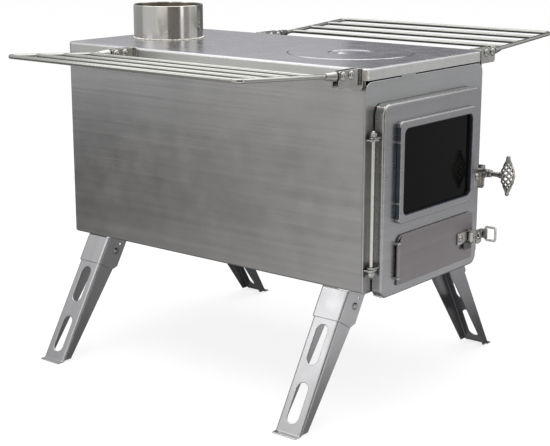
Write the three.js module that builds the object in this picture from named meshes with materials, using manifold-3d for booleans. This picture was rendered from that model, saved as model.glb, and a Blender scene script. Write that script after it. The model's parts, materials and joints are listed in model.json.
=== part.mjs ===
// A tent wood stove in millimetres. +Z is up and z = 0 is the floor; -Y is the door side.
// The part's origin is on the floor under the middle of its bounding box.

import * as THREE from "three";
import { mergeVertices } from "three/addons/utils/BufferGeometryUtils.js";
import Module from "manifold-3d";

const wasm = await Module();
wasm.setup();

// ---------------------------------------------------------------------------
// Driving sizes
// ---------------------------------------------------------------------------

// General
const clearance = 0.3; // between pieces that touch
const hingeClearance = 0.3; // round a pin that turns
const past = 1; // how far a cutting solid runs past what it cuts
const hair = 0.01; // keeps two arcs from meeting in one point
const roundSides = 40; // facets round the collar and the lids

// Body
const bodyWidth = 238; // across the side walls
const bodyLength = 457.5; // along the side walls
const bodyHeight = 248; // underside of the body to the cooking surface
const floorGap = 147; // floor to the underside of the body
const bodySheet = 1.2;
const bodyFoldRadius = 4; // where the floor turns up into the walls

// Top plate
const plateSheet = 2;
const plateSideOverhang = 2.7;
const plateEndOverhang = 3.1;
const skirtDepth = 13;
const plateCornerRadius = 10;
const plateEdgeRadius = 3;

// Cook hole and its lids
const lidRingRadius = 73.5;
const lidCentreRadius = 26.5;
const lidSetback = 104.5; // from the body's front edge to the middle of the lids
const lidThickness = 3;
const lidSheet = 1.5;
const lidLedge = 5; // how far a lid laps over its seat
const lidSeatWidth = 8;
const lifterHoleRadius = 2.2;
const lifterHoleOffset = 19; // from the middle of the centre lid
const lifterHoleAngle = 116; // degrees from +X
const rimNotchRadius = 3;
const rimNotchAngle = -70;

// Flue collar
const collarRadius = 45.1;
const collarWall = 1.2;
const collarHeight = 43; // above the cooking surface
const collarTuck = 8; // below it
const collarSetIn = 60; // from the body's rear edge to the middle of the collar

// Front frame
const frameSheet = 2.5;
const frameSideOverhang = 2.5;
const frameTopGap = 14.5; // below the cooking surface
const frameTopRadius = 12;
const frameBottomRadius = 4;
const mouthSideLap = 13.5; // how far the door laps over the mouth at each side
const mouthEndLap = 17; // and above and below it
const mouthRadius = 8;

// Door
const doorLeftInset = 14; // from the body's side
const doorRightInset = 21;
const doorTopGap = 39; // below the cooking surface
const doorDrop = 7; // the door hangs this far below the body
const doorDepth = 13.2;
const doorSheet = 1.5;
const doorCornerRadius = 12;
const doorEdgeRadius = 3;
const doorFrameGap = 0.5;

// Window
const bezelLeftMargin = 23; // from the door's left edge
const bezelRightMargin = 20;
const bezelTopMargin = 20;
const bezelAboveFlap = 14;
const bezelSheet = 1.2;
const bezelCornerRadius = 6;
const bezelEdgeRadius = 2;
const bezelLip = 8; // width of the bezel's face round the pane
const paneCornerRadius = 8;
const windowCornerRadius = 6;
const glassThickness = 4;
const glassSideGap = 0.5;
const windowMargin = 6; // how far the door laps behind the pane
const bezelPinRadius = 1.4;
const bezelPinSpacing = 68;

// Air flap
const flapLeftMargin = 28; // from the door's left edge
const flapRightMargin = 15;
const flapHeight = 57;
const flapBottom = 4; // above the underside of the body
const flapSheet = 2;
const flapCornerRadius = 8;
const flapFootRadius = 2;
const flapPinRadius = 1.5;
const flapKnuckleWall = 1;
const flapKnuckleLength = 36;
const flapLugThickness = 3;
const inletSideLap = 25; // how far the flap laps over the inlet at each side
const inletHeight = 26;
const inletRadius = 6;

// Flap latch
const flapLatchInset = 11; // from the flap's right edge to the upright pin
const flapLatchHeight = 32;
const flapLatchPlateWidth = 24;
const flapLatchPlateHeight = 14;
const flapLatchSheet = 1.5;
const flapLatchPinRadius = 1.6;
const flapLatchKnuckleWall = 1.2;
const flapLeverReach = 24;
const flapLeverHeight = 12;
const leverPadInset = 6; // from the keeper to the pad's near edge
const leverPadDrop = 10;
const leverPadRadius = 4;
const flapRivetInset = 5.7;
const flapTabDepth = 8;
const flapRingWidth = 13.5;
const flapRingHeight = 16;
const flapRingWire = 1.6; // wire radius
const flapRingBend = 4;
const keeperRadius = 2.2;
const keeperDrop = 2;
const keeperPlay = 1.5;
const rivetHeadRadius = 4.2;
const rivetHeadHeight = 2.4;
const rivetRadius = 2.2;

// Door hinge
const hingeRodRadius = 2;
const hingeRodOut = 8.3; // outside the door's left edge
const hingeRodOffset = 5.2; // in front of the frame
const hingeUpperDrop = 37; // from the door's top to the middle of the upper frame lug
const hingeLowerHeight = 28; // from the underside of the body to the lower one
const lugThickness = 2;
const lugRadius = 5;
const frameLugCorner = 4;
const hingeNutFlats = 8;
const hingeNutHeight = 4;
const hingeRodOvershoot = 2.2;
const capNutHeight = 9;
const capTipRadius = 1.8;
const capShoulderRadius = 3.2;
const capShoulderHeight = 1.8;
const frameLugWidth = 14.5;

// Door latch
const latchOut = 6.5; // outside the door's right edge
const latchHeight = 104; // above the underside of the body
const latchBarrelRadius = 6;
const latchBarrelLength = 11;
const latchShaftRadius = 3;
const latchPlateWidth = 14;
const latchPlateHeight = 24;
const latchPlateSheet = 2;
const latchRivetDrop = 3;
const shaftFlangeLength = 2.5;
const barrelForward = 4; // in front of the door's face
const camLength = 13;
const camWidth = 8;
const camThickness = 4;
const camHubRadius = 5;
const camTipRadius = 3;
const catchSheet = 2;
const catchWidth = 12;
const catchReach = 9.5;
const catchGap = 7.2; // from the frame to the lip
const gripLength = 49;
const gripRadius = 9.5;
const gripWireRadius = 1.2;
const gripWires = 6;
const gripTurns = 0.75;
const gripWireSteps = 12;
const gripEndRadius = 1.2; // where the wires meet
const gripSwell = 0.8; // under 1 fills the cage out towards its ends
const gripBossWall = 1;
const gripCapRadius = 3;
const gripDistance = 35; // from the door's face to the middle of the grip

// Legs
const legSplay = 30.7; // degrees from upright
const legInset = 2.5; // from the body's side to the top of the leg
const legWidth = 35;
const legSheet = 1.5;
const legBend = 3;
const legTopDepth = 29.4; // flange depth at the pivot
const legFootDepth = 12;
const legPivotIn = 19; // pivot behind the leg's face
const legPivotDown = 11.8; // pivot below the top of the face
const legHeadRadius = 10.4;
const legWebDrop = 14; // top of the web below the top of the sleeve's face
const flangeFootGap = 3; // the flanges stop this far above the floor
const frontLegInset = 36.5; // middle of the front legs behind the front edge
const rearLegInset = 41;
const footLip = 6;
const footLipInset = 1;
const slotWidth = 15;
const slotLength = 47;
const slotStarts = [43, 111]; // distances down the leg
const sleeveSheet = 1.2;
const sleeveLength = 36;
const sleeveDepth = 31;
const sleeveChamfer = 7;
const legRivetRadius = 2;
const legRivetHeadHeight = 2;
const detentRadius = 1.6;
const detentIn = 22;
const detentDown = 1;

// Side shelves
const shelfPivotOut = 35; // pivot outside the body wall
const shelfPivotDrop = 5; // pivot below the cooking surface
const shelfTilt = 3.8; // degrees, outer edge up
const shelfReach = 161; // pivot to outer rod
const shelfFrontInset = 8.5; // from the body's front edge to the front arm
const shelfRearInset = 115;
const rodRadius = 2.5;
const rodSides = 8;
const shelfBend = 9;
const innerRods = 3;
const shelfRodPitch = 41;
const ferruleStart = 9;
const ferruleLength = 16;
const ferruleWide = 5.5;
const ferruleNarrow = 3.6;
const ferruleSocket = 12;
const tongueThickness = 6;
const tongueHalfHeight = 4.6;
const tongueTuck = 2; // into the ferrule
const heelReach = 18;
const heelStart = 6.6;
const heelDepth = 5.6;
const stopRivetIn = 14.6; // from the pivot to the stop rivet
const earSheet = 2;
const earTop = 5.8;
const earBottom = 12.5;
const earReach = 6.2;
const earCorner = 3;
const bracketPlate = 2;
const bracketPlateWidth = 17;
const bracketPlateDrop = 19; // below the pivot
const bracketFootRadius = 6;
const bracketTopRadius = 2;

// Grate and baffle
const grateSideGap = 29; // from the body's side
const grateRearGap = 135;
const grateHeight = 18;
const grateSheet = 2;
const grateSlots = 7;
const grateSlotWidth = 8;
const baffleLength = 125;
const baffleDrop = 38; // below the cooking surface
const baffleFlange = 12;
const baffleSheet = 1.5;

// ---------------------------------------------------------------------------
// Places worked out from the driving sizes
// ---------------------------------------------------------------------------

const halfWidth = bodyWidth / 2;
const frontEdge = -bodyLength / 2;
const rearEdge = bodyLength / 2;
const bodyBottom = floorGap;
const surface = floorGap + bodyHeight;
const underPlate = surface - plateSheet;
const plateHalfWidth = halfWidth + plateSideOverhang;
const lidCentreY = frontEdge + lidSetback;
const collarY = rearEdge - collarSetIn;
const shelfFrontY = frontEdge + shelfFrontInset;
const shelfRearY = rearEdge - shelfRearInset;
const frameFront = frontEdge - clearance - frameSheet;
const doorRear = frameFront - doorFrameGap;
const doorFace = doorRear - doorDepth;
const doorBottom = bodyBottom - doorDrop;
const doorTop = surface - doorTopGap;
const doorHeight = doorTop - doorBottom;
const doorLeft = doorLeftInset - halfWidth;
const doorRight = halfWidth - doorRightInset;
const doorWidth = doorRight - doorLeft;
const doorCentreX = (doorLeft + doorRight) / 2;
const bezelDepth = glassThickness + 2 * clearance + bezelSheet;
const bezelLeft = doorLeft + bezelLeftMargin;
const bezelRight = doorRight - bezelRightMargin;
const bezelWidth = bezelRight - bezelLeft;
const bezelCentreX = (bezelLeft + bezelRight) / 2;
const bezelBottom = bodyBottom + flapBottom + flapHeight + bezelAboveFlap;
const bezelHeight = doorTop - bezelTopMargin - bezelBottom;
const bezelCentreZ = bezelBottom + bezelHeight / 2;
const flapLeft = doorLeft + flapLeftMargin;
const flapRight = doorRight - flapRightMargin;
const flapRear = doorFace - clearance;
const flapFace = flapRear - flapSheet;
const flapCentreZ = bodyBottom + flapBottom + flapHeight / 2;
const flapKnuckleRadius = flapPinRadius + hingeClearance + flapKnuckleWall;
const flapPinX = flapLeft;
const flapPinY = doorFace - clearance - flapKnuckleRadius;
const flapLatchX = flapRight - flapLatchInset;
const hingeRodX = doorLeft - hingeRodOut;
const hingeRodY = frameFront - hingeRodOffset;
const hingeUpper = doorTop - hingeUpperDrop;
const hingeLower = bodyBottom + hingeLowerHeight;
const latchX = doorRight + latchOut;
const latchZ = bodyBottom + latchHeight;
const gripY = doorFace - gripDistance;
const keeperX = flapLatchX + flapLeverReach - rivetHeadRadius - keeperRadius;
const flapLatchZ = bodyBottom + flapLatchHeight;
const keeperZ = flapLatchZ - keeperDrop;
const latchPlateFront = flapFace - clearance - flapLatchSheet;
const latchKnuckleRadius = flapLatchPinRadius + hingeClearance + flapLatchKnuckleWall;
const latchPinY = latchPlateFront - clearance - latchKnuckleRadius;
const flapLeverFront = latchPinY - flapLatchSheet / 2;
const rad = THREE.MathUtils.degToRad;

// ---------------------------------------------------------------------------
// Materials
// ---------------------------------------------------------------------------

const metal = (color, roughness) => new THREE.MeshStandardMaterial({ color, roughness, metalness: 0.9 });
const brushedSteel = metal(0x96969a, 0.42);
const paleSteel = metal(0xc4c4c6, 0.34);
const brightSteel = metal(0xd2d2d2, 0.22);
const darkSteel = metal(0x5a5856, 0.6);
const stoveGlass = new THREE.MeshStandardMaterial({ color: 0x0b0c0d, roughness: 0.08, metalness: 0 });

// ---------------------------------------------------------------------------
// Shapes and solids
// ---------------------------------------------------------------------------

function toSolid(geometry) {
  const bare = geometry.clone();
  bare.deleteAttribute("normal");
  bare.deleteAttribute("uv");
  const merged = mergeVertices(bare, 1e-4);
  const mesh = new wasm.Mesh({
    numProp: 3,
    vertProperties: merged.attributes.position.array,
    triVerts: new Uint32Array(merged.index.array),
  });
  return new wasm.Manifold(mesh);
}

function toGeometry(solid) {
  const mesh = solid.getMesh();
  const geometry = new THREE.BufferGeometry();
  geometry.setAttribute("position", new THREE.BufferAttribute(mesh.vertProperties.slice(), 3));
  geometry.setIndex(new THREE.BufferAttribute(mesh.triVerts.slice(), 1));
  return geometry;
}

const joined = (...geometries) => toGeometry(geometries.map(toSolid).reduce((a, b) => a.add(b)));

const cutBy = (geometry, ...tools) =>
  toGeometry(tools.map(toSolid).reduce((left, tool) => left.subtract(tool), toSolid(geometry)));

const common = (a, b) => toGeometry(toSolid(a).intersect(toSolid(b)));

function block(x0, x1, y0, y1, z0, z1) {
  const geometry = new THREE.BoxGeometry(x1 - x0, y1 - y0, z1 - z0);
  return geometry.translate((x0 + x1) / 2, (y0 + y1) / 2, (z0 + z1) / 2);
}

// An outline with rounded corners: one radius for all of them, or a list that starts at the lower left
// and goes round by the lower right.
function roundedRect(x0, x1, y0, y1, radius, Kind = THREE.Shape) {
  const [a, b, c, d] = Array.isArray(radius) ? radius : [radius, radius, radius, radius];
  const shape = new Kind();
  shape.moveTo(x0 + a, y0);
  shape.lineTo(x1 - b, y0);
  if (b) shape.absarc(x1 - b, y0 + b, b, -Math.PI / 2, 0);
  shape.lineTo(x1, y1 - c);
  if (c) shape.absarc(x1 - c, y1 - c, c, 0, Math.PI / 2);
  shape.lineTo(x0 + d, y1);
  if (d) shape.absarc(x0 + d, y1 - d, d, Math.PI / 2, Math.PI);
  shape.lineTo(x0, y0 + a);
  if (a) shape.absarc(x0 + a, y0 + a, a, Math.PI, 1.5 * Math.PI);
  return shape;
}

function disc(x, y, radius, Kind = THREE.Shape) {
  const shape = new Kind();
  shape.absarc(x, y, radius, 0, 2 * Math.PI);
  return shape;
}

function polygon(points) {
  return new THREE.Shape(points.map(([x, y]) => new THREE.Vector2(x, y)));
}

// An outline drawn out along an axis. It holds (y, z) for the x axis, (x, z) for y and (x, y) for z.
function prism(shape, axis, from, to, curveSegments = 3) {
  const geometry = new THREE.ExtrudeGeometry(shape, { depth: to - from, bevelEnabled: false, curveSegments });
  if (axis === "z") return geometry.translate(0, 0, from);
  if (axis === "y") return geometry.rotateX(Math.PI / 2).translate(0, to, 0);
  const turn = new THREE.Matrix4().makeBasis(
    new THREE.Vector3(0, 1, 0),
    new THREE.Vector3(0, 0, 1),
    new THREE.Vector3(1, 0, 0),
  );
  return geometry.applyMatrix4(turn).translate(from, 0, 0);
}

const cylinder = (axis, a, b, radius, from, to, segments = 5) =>
  prism(disc(a, b, radius), axis, from, to, segments);

// A profile of [radius, height] points turned about the z axis, or about y with the height along +y.
function turned(points, segments, axis = "z") {
  const profile = points.map(([r, h]) => new THREE.Vector2(r, h));
  const geometry = new THREE.LatheGeometry(profile, segments);
  return axis === "y" ? geometry : geometry.rotateX(Math.PI / 2);
}

// A polyline with its corners rounded.
function rounded(points, radius, steps = 4) {
  const result = [points[0]];
  for (let i = 1; i < points.length - 1; i++) {
    const before = points[i - 1].clone().sub(points[i]).normalize();
    const after = points[i + 1].clone().sub(points[i]).normalize();
    const half = before.angleTo(after) / 2;
    const centre = before.clone().add(after).normalize().multiplyScalar(radius / Math.sin(half));
    const start = before.multiplyScalar(radius / Math.tan(half)).sub(centre);
    const end = after.multiplyScalar(radius / Math.tan(half)).sub(centre);
    const sweep = start.angleTo(end);
    const axis = start.clone().cross(end).normalize();
    for (let k = 0; k <= steps; k++) {
      const spoke = start.clone().applyAxisAngle(axis, (sweep * k) / steps);
      result.push(spoke.add(centre).add(points[i]));
    }
  }
  result.push(points[points.length - 1]);
  return result;
}

// A round rod along a list of points, with flat ends, or closed into a loop.
function rod(points, radius, sides = 8, closed = false) {
  const count = points.length;
  const at = (i) => points[(i + count) % count];
  const tangents = points.map((p, i) => {
    const last = closed || i > 0 ? at(i - 1) : p;
    const next = closed || i < count - 1 ? at(i + 1) : p;
    return next.clone().sub(last).normalize();
  });
  const seed = Math.abs(tangents[0].z) < 0.9 ? new THREE.Vector3(0, 0, 1) : new THREE.Vector3(0, 1, 0);
  const side = seed.cross(tangents[0]).normalize();
  const positions = [];
  for (let i = 0; i < count; i++) {
    side.addScaledVector(tangents[i], -side.dot(tangents[i])).normalize();
    const other = tangents[i].clone().cross(side);
    for (let k = 0; k < sides; k++) {
      const angle = (2 * Math.PI * k) / sides;
      const spoke = side.clone().multiplyScalar(Math.cos(angle)).addScaledVector(other, Math.sin(angle));
      const vertex = spoke.multiplyScalar(radius).add(points[i]);
      positions.push(vertex.x, vertex.y, vertex.z);
    }
  }
  const index = [];
  for (let i = 0; i < (closed ? count : count - 1); i++) {
    const here = i * sides;
    const there = ((i + 1) % count) * sides;
    for (let k = 0; k < sides; k++) {
      const k1 = (k + 1) % sides;
      index.push(here + k, here + k1, there + k1, here + k, there + k1, there + k);
    }
  }
  if (!closed) {
    const last = (count - 1) * sides;
    for (let k = 1; k < sides - 1; k++) {
      index.push(0, k + 1, k, last, last + k, last + k + 1);
    }
  }
  const geometry = new THREE.BufferGeometry();
  geometry.setAttribute("position", new THREE.Float32BufferAttribute(positions, 3));
  geometry.setIndex(index);
  return geometry;
}

// A slab with rounded corners and one rounded edge, as a pressed sheet has, before its hollow is cut.
// It lies in the x-y plane with its face up at `top`; the edge follows `edge` at `steps` heights.
function pressed(width, depth, bottom, top, corner, edge, steps = 3) {
  const levels = [[0, bottom]];
  for (let k = 0; k <= steps; k++) {
    const angle = (Math.PI / 2) * (k / steps);
    levels.push([edge * (1 - Math.cos(angle)), top - edge * (1 - Math.sin(angle))]);
  }
  const outlines = levels.map(([inset, z]) => {
    const x = width / 2 - inset;
    const y = depth / 2 - inset;
    const shape = roundedRect(-x, x, -y, y, Math.max(corner - inset, corner / 8));
    return shape.getPoints(4).slice(0, -1).map((p) => [p.x, p.y, z]);
  });
  const sides = outlines[0].length;
  const index = [];
  for (let i = 0; i < outlines.length - 1; i++) {
    for (let k = 0; k < sides; k++) {
      const k1 = (k + 1) % sides;
      const a = i * sides;
      index.push(a + k, a + k1, a + sides + k1, a + k, a + sides + k1, a + sides + k);
    }
  }
  const last = (outlines.length - 1) * sides;
  for (let k = 1; k < sides - 1; k++) {
    index.push(0, k + 1, k, last, last + k, last + k + 1);
  }
  const geometry = new THREE.BufferGeometry();
  geometry.setAttribute("position", new THREE.Float32BufferAttribute(outlines.flat(2), 3));
  geometry.setIndex(index);
  return geometry;
}

// A tray of sheet, open below: an outer pressed slab less an inner one.
function tray(width, depth, height, sheet, corner, edge) {
  const outer = pressed(width, depth, -height, 0, corner, edge);
  const innerCorner = Math.max(corner - sheet, sheet / 2);
  const innerEdge = Math.max(edge - sheet, sheet / 4);
  const hollow = [width - 2 * sheet, depth - 2 * sheet];
  const inner = pressed(...hollow, -height - past, -sheet, innerCorner, innerEdge);
  return cutBy(outer, inner);
}

// A tray stood up to face -Y, with its face at `face` and its middle at (x, z).
const standing = (geometry, x, face, z) => geometry.rotateX(Math.PI / 2).translate(x, face, z);

// A rivet along y, with a dome beyond each end of the stretch that it clamps.
function rivet(halfGrip, radius = rivetRadius, headRadius = rivetHeadRadius, headHeight = rivetHeadHeight) {
  const dome = (k) => {
    const angle = (Math.PI / 2) * (k / 3);
    return [headRadius * Math.cos(angle), halfGrip + headHeight * Math.sin(angle)];
  };
  const upper = [0, 1, 2].map(dome);
  const profile = [
    [0, -halfGrip - headHeight],
    ...upper.map(([r, h]) => [r, -h]).reverse(),
    [radius, -halfGrip],
    [radius, halfGrip],
    ...upper,
    [0, halfGrip + headHeight],
  ];
  return turned(profile, 12, "y");
}

// The part of a y-wise rivet that stands in front of the plane y = back.
function headInFront(shank, x, middle, z, back) {
  const reach = 2 * rivetHeadRadius;
  const front = block(x - reach, x + reach, back - reach, back, z - reach, z + reach);
  return common(shank.translate(x, middle, z), front);
}

function nutOutline(x, y, flats, hole) {
  const corner = flats / Math.sqrt(3);
  const points = [0, 1, 2, 3, 4, 5].map((k) => [
    x + corner * Math.cos(rad(60 * k)),
    y + corner * Math.sin(rad(60 * k)),
  ]);
  const shape = polygon(points);
  if (hole) shape.holes.push(disc(x, y, hole, THREE.Path));
  return shape;
}

function piece(name, geometry, material) {
  const mesh = new THREE.Mesh(geometry, material);
  mesh.name = name;
  return mesh;
}

const stove = new THREE.Group();

// ---------------------------------------------------------------------------
// Body
// ---------------------------------------------------------------------------

// What lies outside the rounded corners of the top plate's skirt, from the skirt's lower edge up.
function outsideSkirt() {
  const x = plateHalfWidth - plateSheet - clearance;
  const y = rearEdge + plateEndOverhang - plateSheet - clearance;
  const low = surface - skirtDepth - clearance;
  const corner = plateCornerRadius - plateSheet;
  const within = prism(roundedRect(-x, x, -y, y, corner), "z", low - past, surface + past);
  return cutBy(block(-x - past, x + past, -y - past, y + past, low, surface), within);
}

function addBody() {
  const crown = outsideSkirt();
  const wallTop = underPlate - (plateEdgeRadius - plateSheet);
  const inner = halfWidth - bodySheet;
  const innerFold = bodyFoldRadius - bodySheet;
  const floorTop = bodyBottom + bodySheet;
  const folds = [bodyFoldRadius, bodyFoldRadius, 0, 0];
  const innerFolds = [innerFold, innerFold, 0, 0];
  const outline = roundedRect(-halfWidth, halfWidth, bodyBottom, wallTop, folds);
  const hollow = roundedRect(-inner, inner, floorTop, wallTop + past, innerFolds);
  const shell = cutBy(
    prism(outline, "y", frontEdge, rearEdge),
    prism(hollow, "y", frontEdge - past, rearEdge + past),
    crown,
  );
  stove.add(piece("body_shell", shell, brushedSteel));

  const rear = inner - clearance;
  const rearOutline = roundedRect(-rear, rear, floorTop + clearance, wallTop, innerFolds);
  const rearPanel = cutBy(prism(rearOutline, "y", rearEdge - bodySheet, rearEdge), crown);
  stove.add(piece("rear_panel", rearPanel, brushedSteel));

  const frameHalf = halfWidth + frameSideOverhang;
  const frameTop = surface - frameTopGap;
  const corners = [frameBottomRadius, frameBottomRadius, frameTopRadius, frameTopRadius];
  const frame = roundedRect(-frameHalf, frameHalf, bodyBottom, frameTop, corners);
  const mouthX = [doorLeft + mouthSideLap, doorRight - mouthSideLap];
  const mouthZ = [doorBottom + mouthEndLap, doorTop - mouthEndLap];
  frame.holes.push(roundedRect(...mouthX, ...mouthZ, mouthRadius, THREE.Path));
  stove.add(piece("front_frame", prism(frame, "y", frameFront, frameFront + frameSheet), brushedSteel));
}

function addTopPlate() {
  const width = 2 * plateHalfWidth;
  const length = bodyLength + 2 * plateEndOverhang;
  const pan = tray(width, length, skirtDepth, plateSheet, plateCornerRadius, plateEdgeRadius);
  const hole = (y, radius) =>
    cylinder("z", 0, y, radius + clearance, underPlate - past, surface + past, roundSides / 2);
  const plate = cutBy(
    pan.translate(0, 0, surface),
    hole(collarY, collarRadius),
    hole(lidCentreY, lidRingRadius),
  );
  stove.add(piece("top_plate", plate, brushedSteel));

  const inner = collarRadius - collarWall;
  const collar = turned(
    [
      [collarRadius, -collarTuck],
      [collarRadius, collarHeight],
      [inner, collarHeight],
      [inner, -collarTuck],
      [collarRadius, -collarTuck],
    ],
    roundSides,
  );
  stove.add(piece("flue_collar", collar.translate(0, collarY, surface), brightSteel));

  const seatTop = surface - lidThickness - clearance;
  const seatInner = lidRingRadius - lidLedge;
  const seatOuter = lidRingRadius + lidSeatWidth;
  const riser = lidRingRadius + clearance + lidSheet;
  const seat = turned(
    [
      [seatInner, seatTop - lidSheet],
      [riser, seatTop - lidSheet],
      [riser, underPlate - clearance - lidSheet],
      [seatOuter, underPlate - clearance - lidSheet],
      [seatOuter, underPlate - clearance],
      [riser - lidSheet, underPlate - clearance],
      [riser - lidSheet, seatTop],
      [seatInner, seatTop],
      [seatInner, seatTop - lidSheet],
    ],
    roundSides,
  );
  stove.add(piece("lid_seat_ring", seat.translate(0, lidCentreY, 0), darkSteel));
}

function addLids() {
  const step = lidThickness - lidSheet - clearance;
  const ledge = lidCentreRadius - lidLedge;
  const hole = lidCentreRadius + clearance;
  const ring = turned(
    [
      [ledge, -lidThickness],
      [lidRingRadius, -lidThickness],
      [lidRingRadius, 0],
      [hole, 0],
      [hole, -lidThickness + step],
      [ledge, -lidThickness + step],
      [ledge, -lidThickness],
    ],
    roundSides,
  );
  const notch = cylinder(
    "z",
    lidRingRadius * Math.cos(rad(rimNotchAngle)),
    lidRingRadius * Math.sin(rad(rimNotchAngle)),
    rimNotchRadius,
    -lidThickness - past,
    past,
  );
  stove.add(piece("lid_ring", cutBy(ring, notch).translate(0, lidCentreY, surface), brushedSteel));

  const lid = cylinder("z", 0, 0, lidCentreRadius, -lidSheet, 0, roundSides / 2);
  const lifterHole = cylinder(
    "z",
    lifterHoleOffset * Math.cos(rad(lifterHoleAngle)),
    lifterHoleOffset * Math.sin(rad(lifterHoleAngle)),
    lifterHoleRadius,
    -lidSheet - past,
    past,
    3,
  );
  stove.add(piece("lid_centre", cutBy(lid, lifterHole).translate(0, lidCentreY, surface), brushedSteel));
}

function addInside() {
  const half = halfWidth - bodySheet - clearance;
  const z = surface - baffleDrop;
  const y1 = rearEdge - bodySheet - clearance;
  const y0 = y1 - baffleLength;
  const baffle = joined(
    block(-half, half, y0, y1, z, z + baffleSheet),
    block(-half, -half + baffleSheet, y0, y1, z, z + baffleFlange),
    block(half - baffleSheet, half, y0, y1, z, z + baffleFlange),
  );
  stove.add(piece("baffle_plate", baffle, darkSteel));

  const floor = bodyBottom + bodySheet + clearance;
  const side = halfWidth - grateSideGap;
  const pitch = (2 * side) / (grateSlots + 1);
  const end = (bodyLength - grateRearGap - pitch) / 2;
  const reach = end - pitch;
  const slots = [];
  for (let k = 1; k <= grateSlots; k++) {
    const left = -side + pitch * k - grateSlotWidth / 2;
    slots.push(block(left, left + grateSlotWidth, -reach, reach, 0, grateHeight + past));
  }
  const top = cutBy(block(-side, side, -end, end, grateHeight - grateSheet, grateHeight), ...slots);
  const grate = joined(
    top,
    block(-side, -side + grateSheet, -end, end, 0, grateHeight),
    block(side - grateSheet, side, -end, end, 0, grateHeight),
  );
  const grateY = frontEdge + pitch + end;
  stove.add(piece("log_grate", grate.translate(0, grateY, floor), darkSteel));
}

// ---------------------------------------------------------------------------
// Door hinge and catch
// ---------------------------------------------------------------------------

const lugHole = hingeRodRadius + hingeClearance;

function frameLug(z) {
  const half = frameLugWidth / 2;
  const front = hingeRodY - lugRadius;
  const back = frameFront - clearance;
  const corners = [frameLugCorner, frameLugCorner, 0, 0];
  const outline = roundedRect(hingeRodX - half, hingeRodX + half, front, back, corners);
  outline.holes.push(disc(hingeRodX, hingeRodY, lugHole, THREE.Path));
  return prism(outline, "z", z - lugThickness / 2, z + lugThickness / 2);
}

function addHinge() {
  stove.add(piece("frame_lug_upper", frameLug(hingeUpper), brightSteel));
  stove.add(piece("frame_lug_lower", frameLug(hingeLower), brightSteel));

  const nutBase = hingeUpper + 1.5 * lugThickness + 2 * clearance;
  const nutTop = nutBase + hingeNutHeight;
  const capTop = hingeLower - lugThickness / 2 - clearance;
  const capBottom = capTop - capNutHeight;
  const rodBottom = capBottom + capNutHeight / 2;
  const rodTop = nutTop + hingeRodOvershoot;
  const hingeRod = cylinder("z", hingeRodX, hingeRodY, hingeRodRadius, rodBottom, rodTop, 3);
  const nut = nutOutline(hingeRodX, hingeRodY, hingeNutFlats, lugHole);
  stove.add(
    piece("hinge_rod", hingeRod, brightSteel),
    piece("hinge_top_nut", prism(nut, "z", nutBase, nutTop), brightSteel),
  );

  const hexHeight = capNutHeight / 2;
  const dome = turned(
    [
      [0, 0],
      [capTipRadius, 0],
      [capShoulderRadius, capShoulderHeight],
      [hingeNutFlats / 2, hexHeight],
      [0, hexHeight],
    ],
    12,
  ).translate(hingeRodX, hingeRodY, capBottom);
  const hex = prism(nutOutline(hingeRodX, hingeRodY, hingeNutFlats), "z", capTop - hexHeight, capTop);
  const bore = cylinder("z", hingeRodX, hingeRodY, lugHole, rodBottom - clearance, capTop + past, 3);
  stove.add(piece("hinge_cap_nut", cutBy(joined(dome, hex), bore), brightSteel));
}

function addCatch() {
  const right = halfWidth + frameSideOverhang - clearance;
  const base = frameFront - clearance;
  const lipRear = frameFront - catchGap;
  const z0 = latchZ - catchWidth / 2;
  const z1 = latchZ + catchWidth / 2;
  const left = right - catchReach;
  const catchPiece = joined(
    block(left, right, base - catchSheet, base, z0, z1),
    block(right - catchSheet, right, lipRear - catchSheet, base, z0, z1),
    block(left, right, lipRear - catchSheet, lipRear, z0, z1),
  );
  stove.add(piece("latch_catch", catchPiece, brightSteel));
}

// ---------------------------------------------------------------------------
// Door
// ---------------------------------------------------------------------------

function doorLug(z) {
  const reach = doorLeft + doorSheet / 2;
  const back = Math.min(doorRear - clearance, hingeRodY + lugRadius);
  const outline = new THREE.Shape();
  outline.absarc(hingeRodX, hingeRodY, lugRadius, Math.PI / 2, 1.5 * Math.PI);
  outline.lineTo(reach, hingeRodY - lugRadius);
  outline.lineTo(reach, back);
  outline.lineTo(hingeRodX, back);
  outline.holes.push(disc(hingeRodX, hingeRodY, lugHole, THREE.Path));
  const middle = z + lugThickness + clearance;
  return prism(outline, "z", middle - lugThickness / 2, middle + lugThickness / 2);
}

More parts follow.
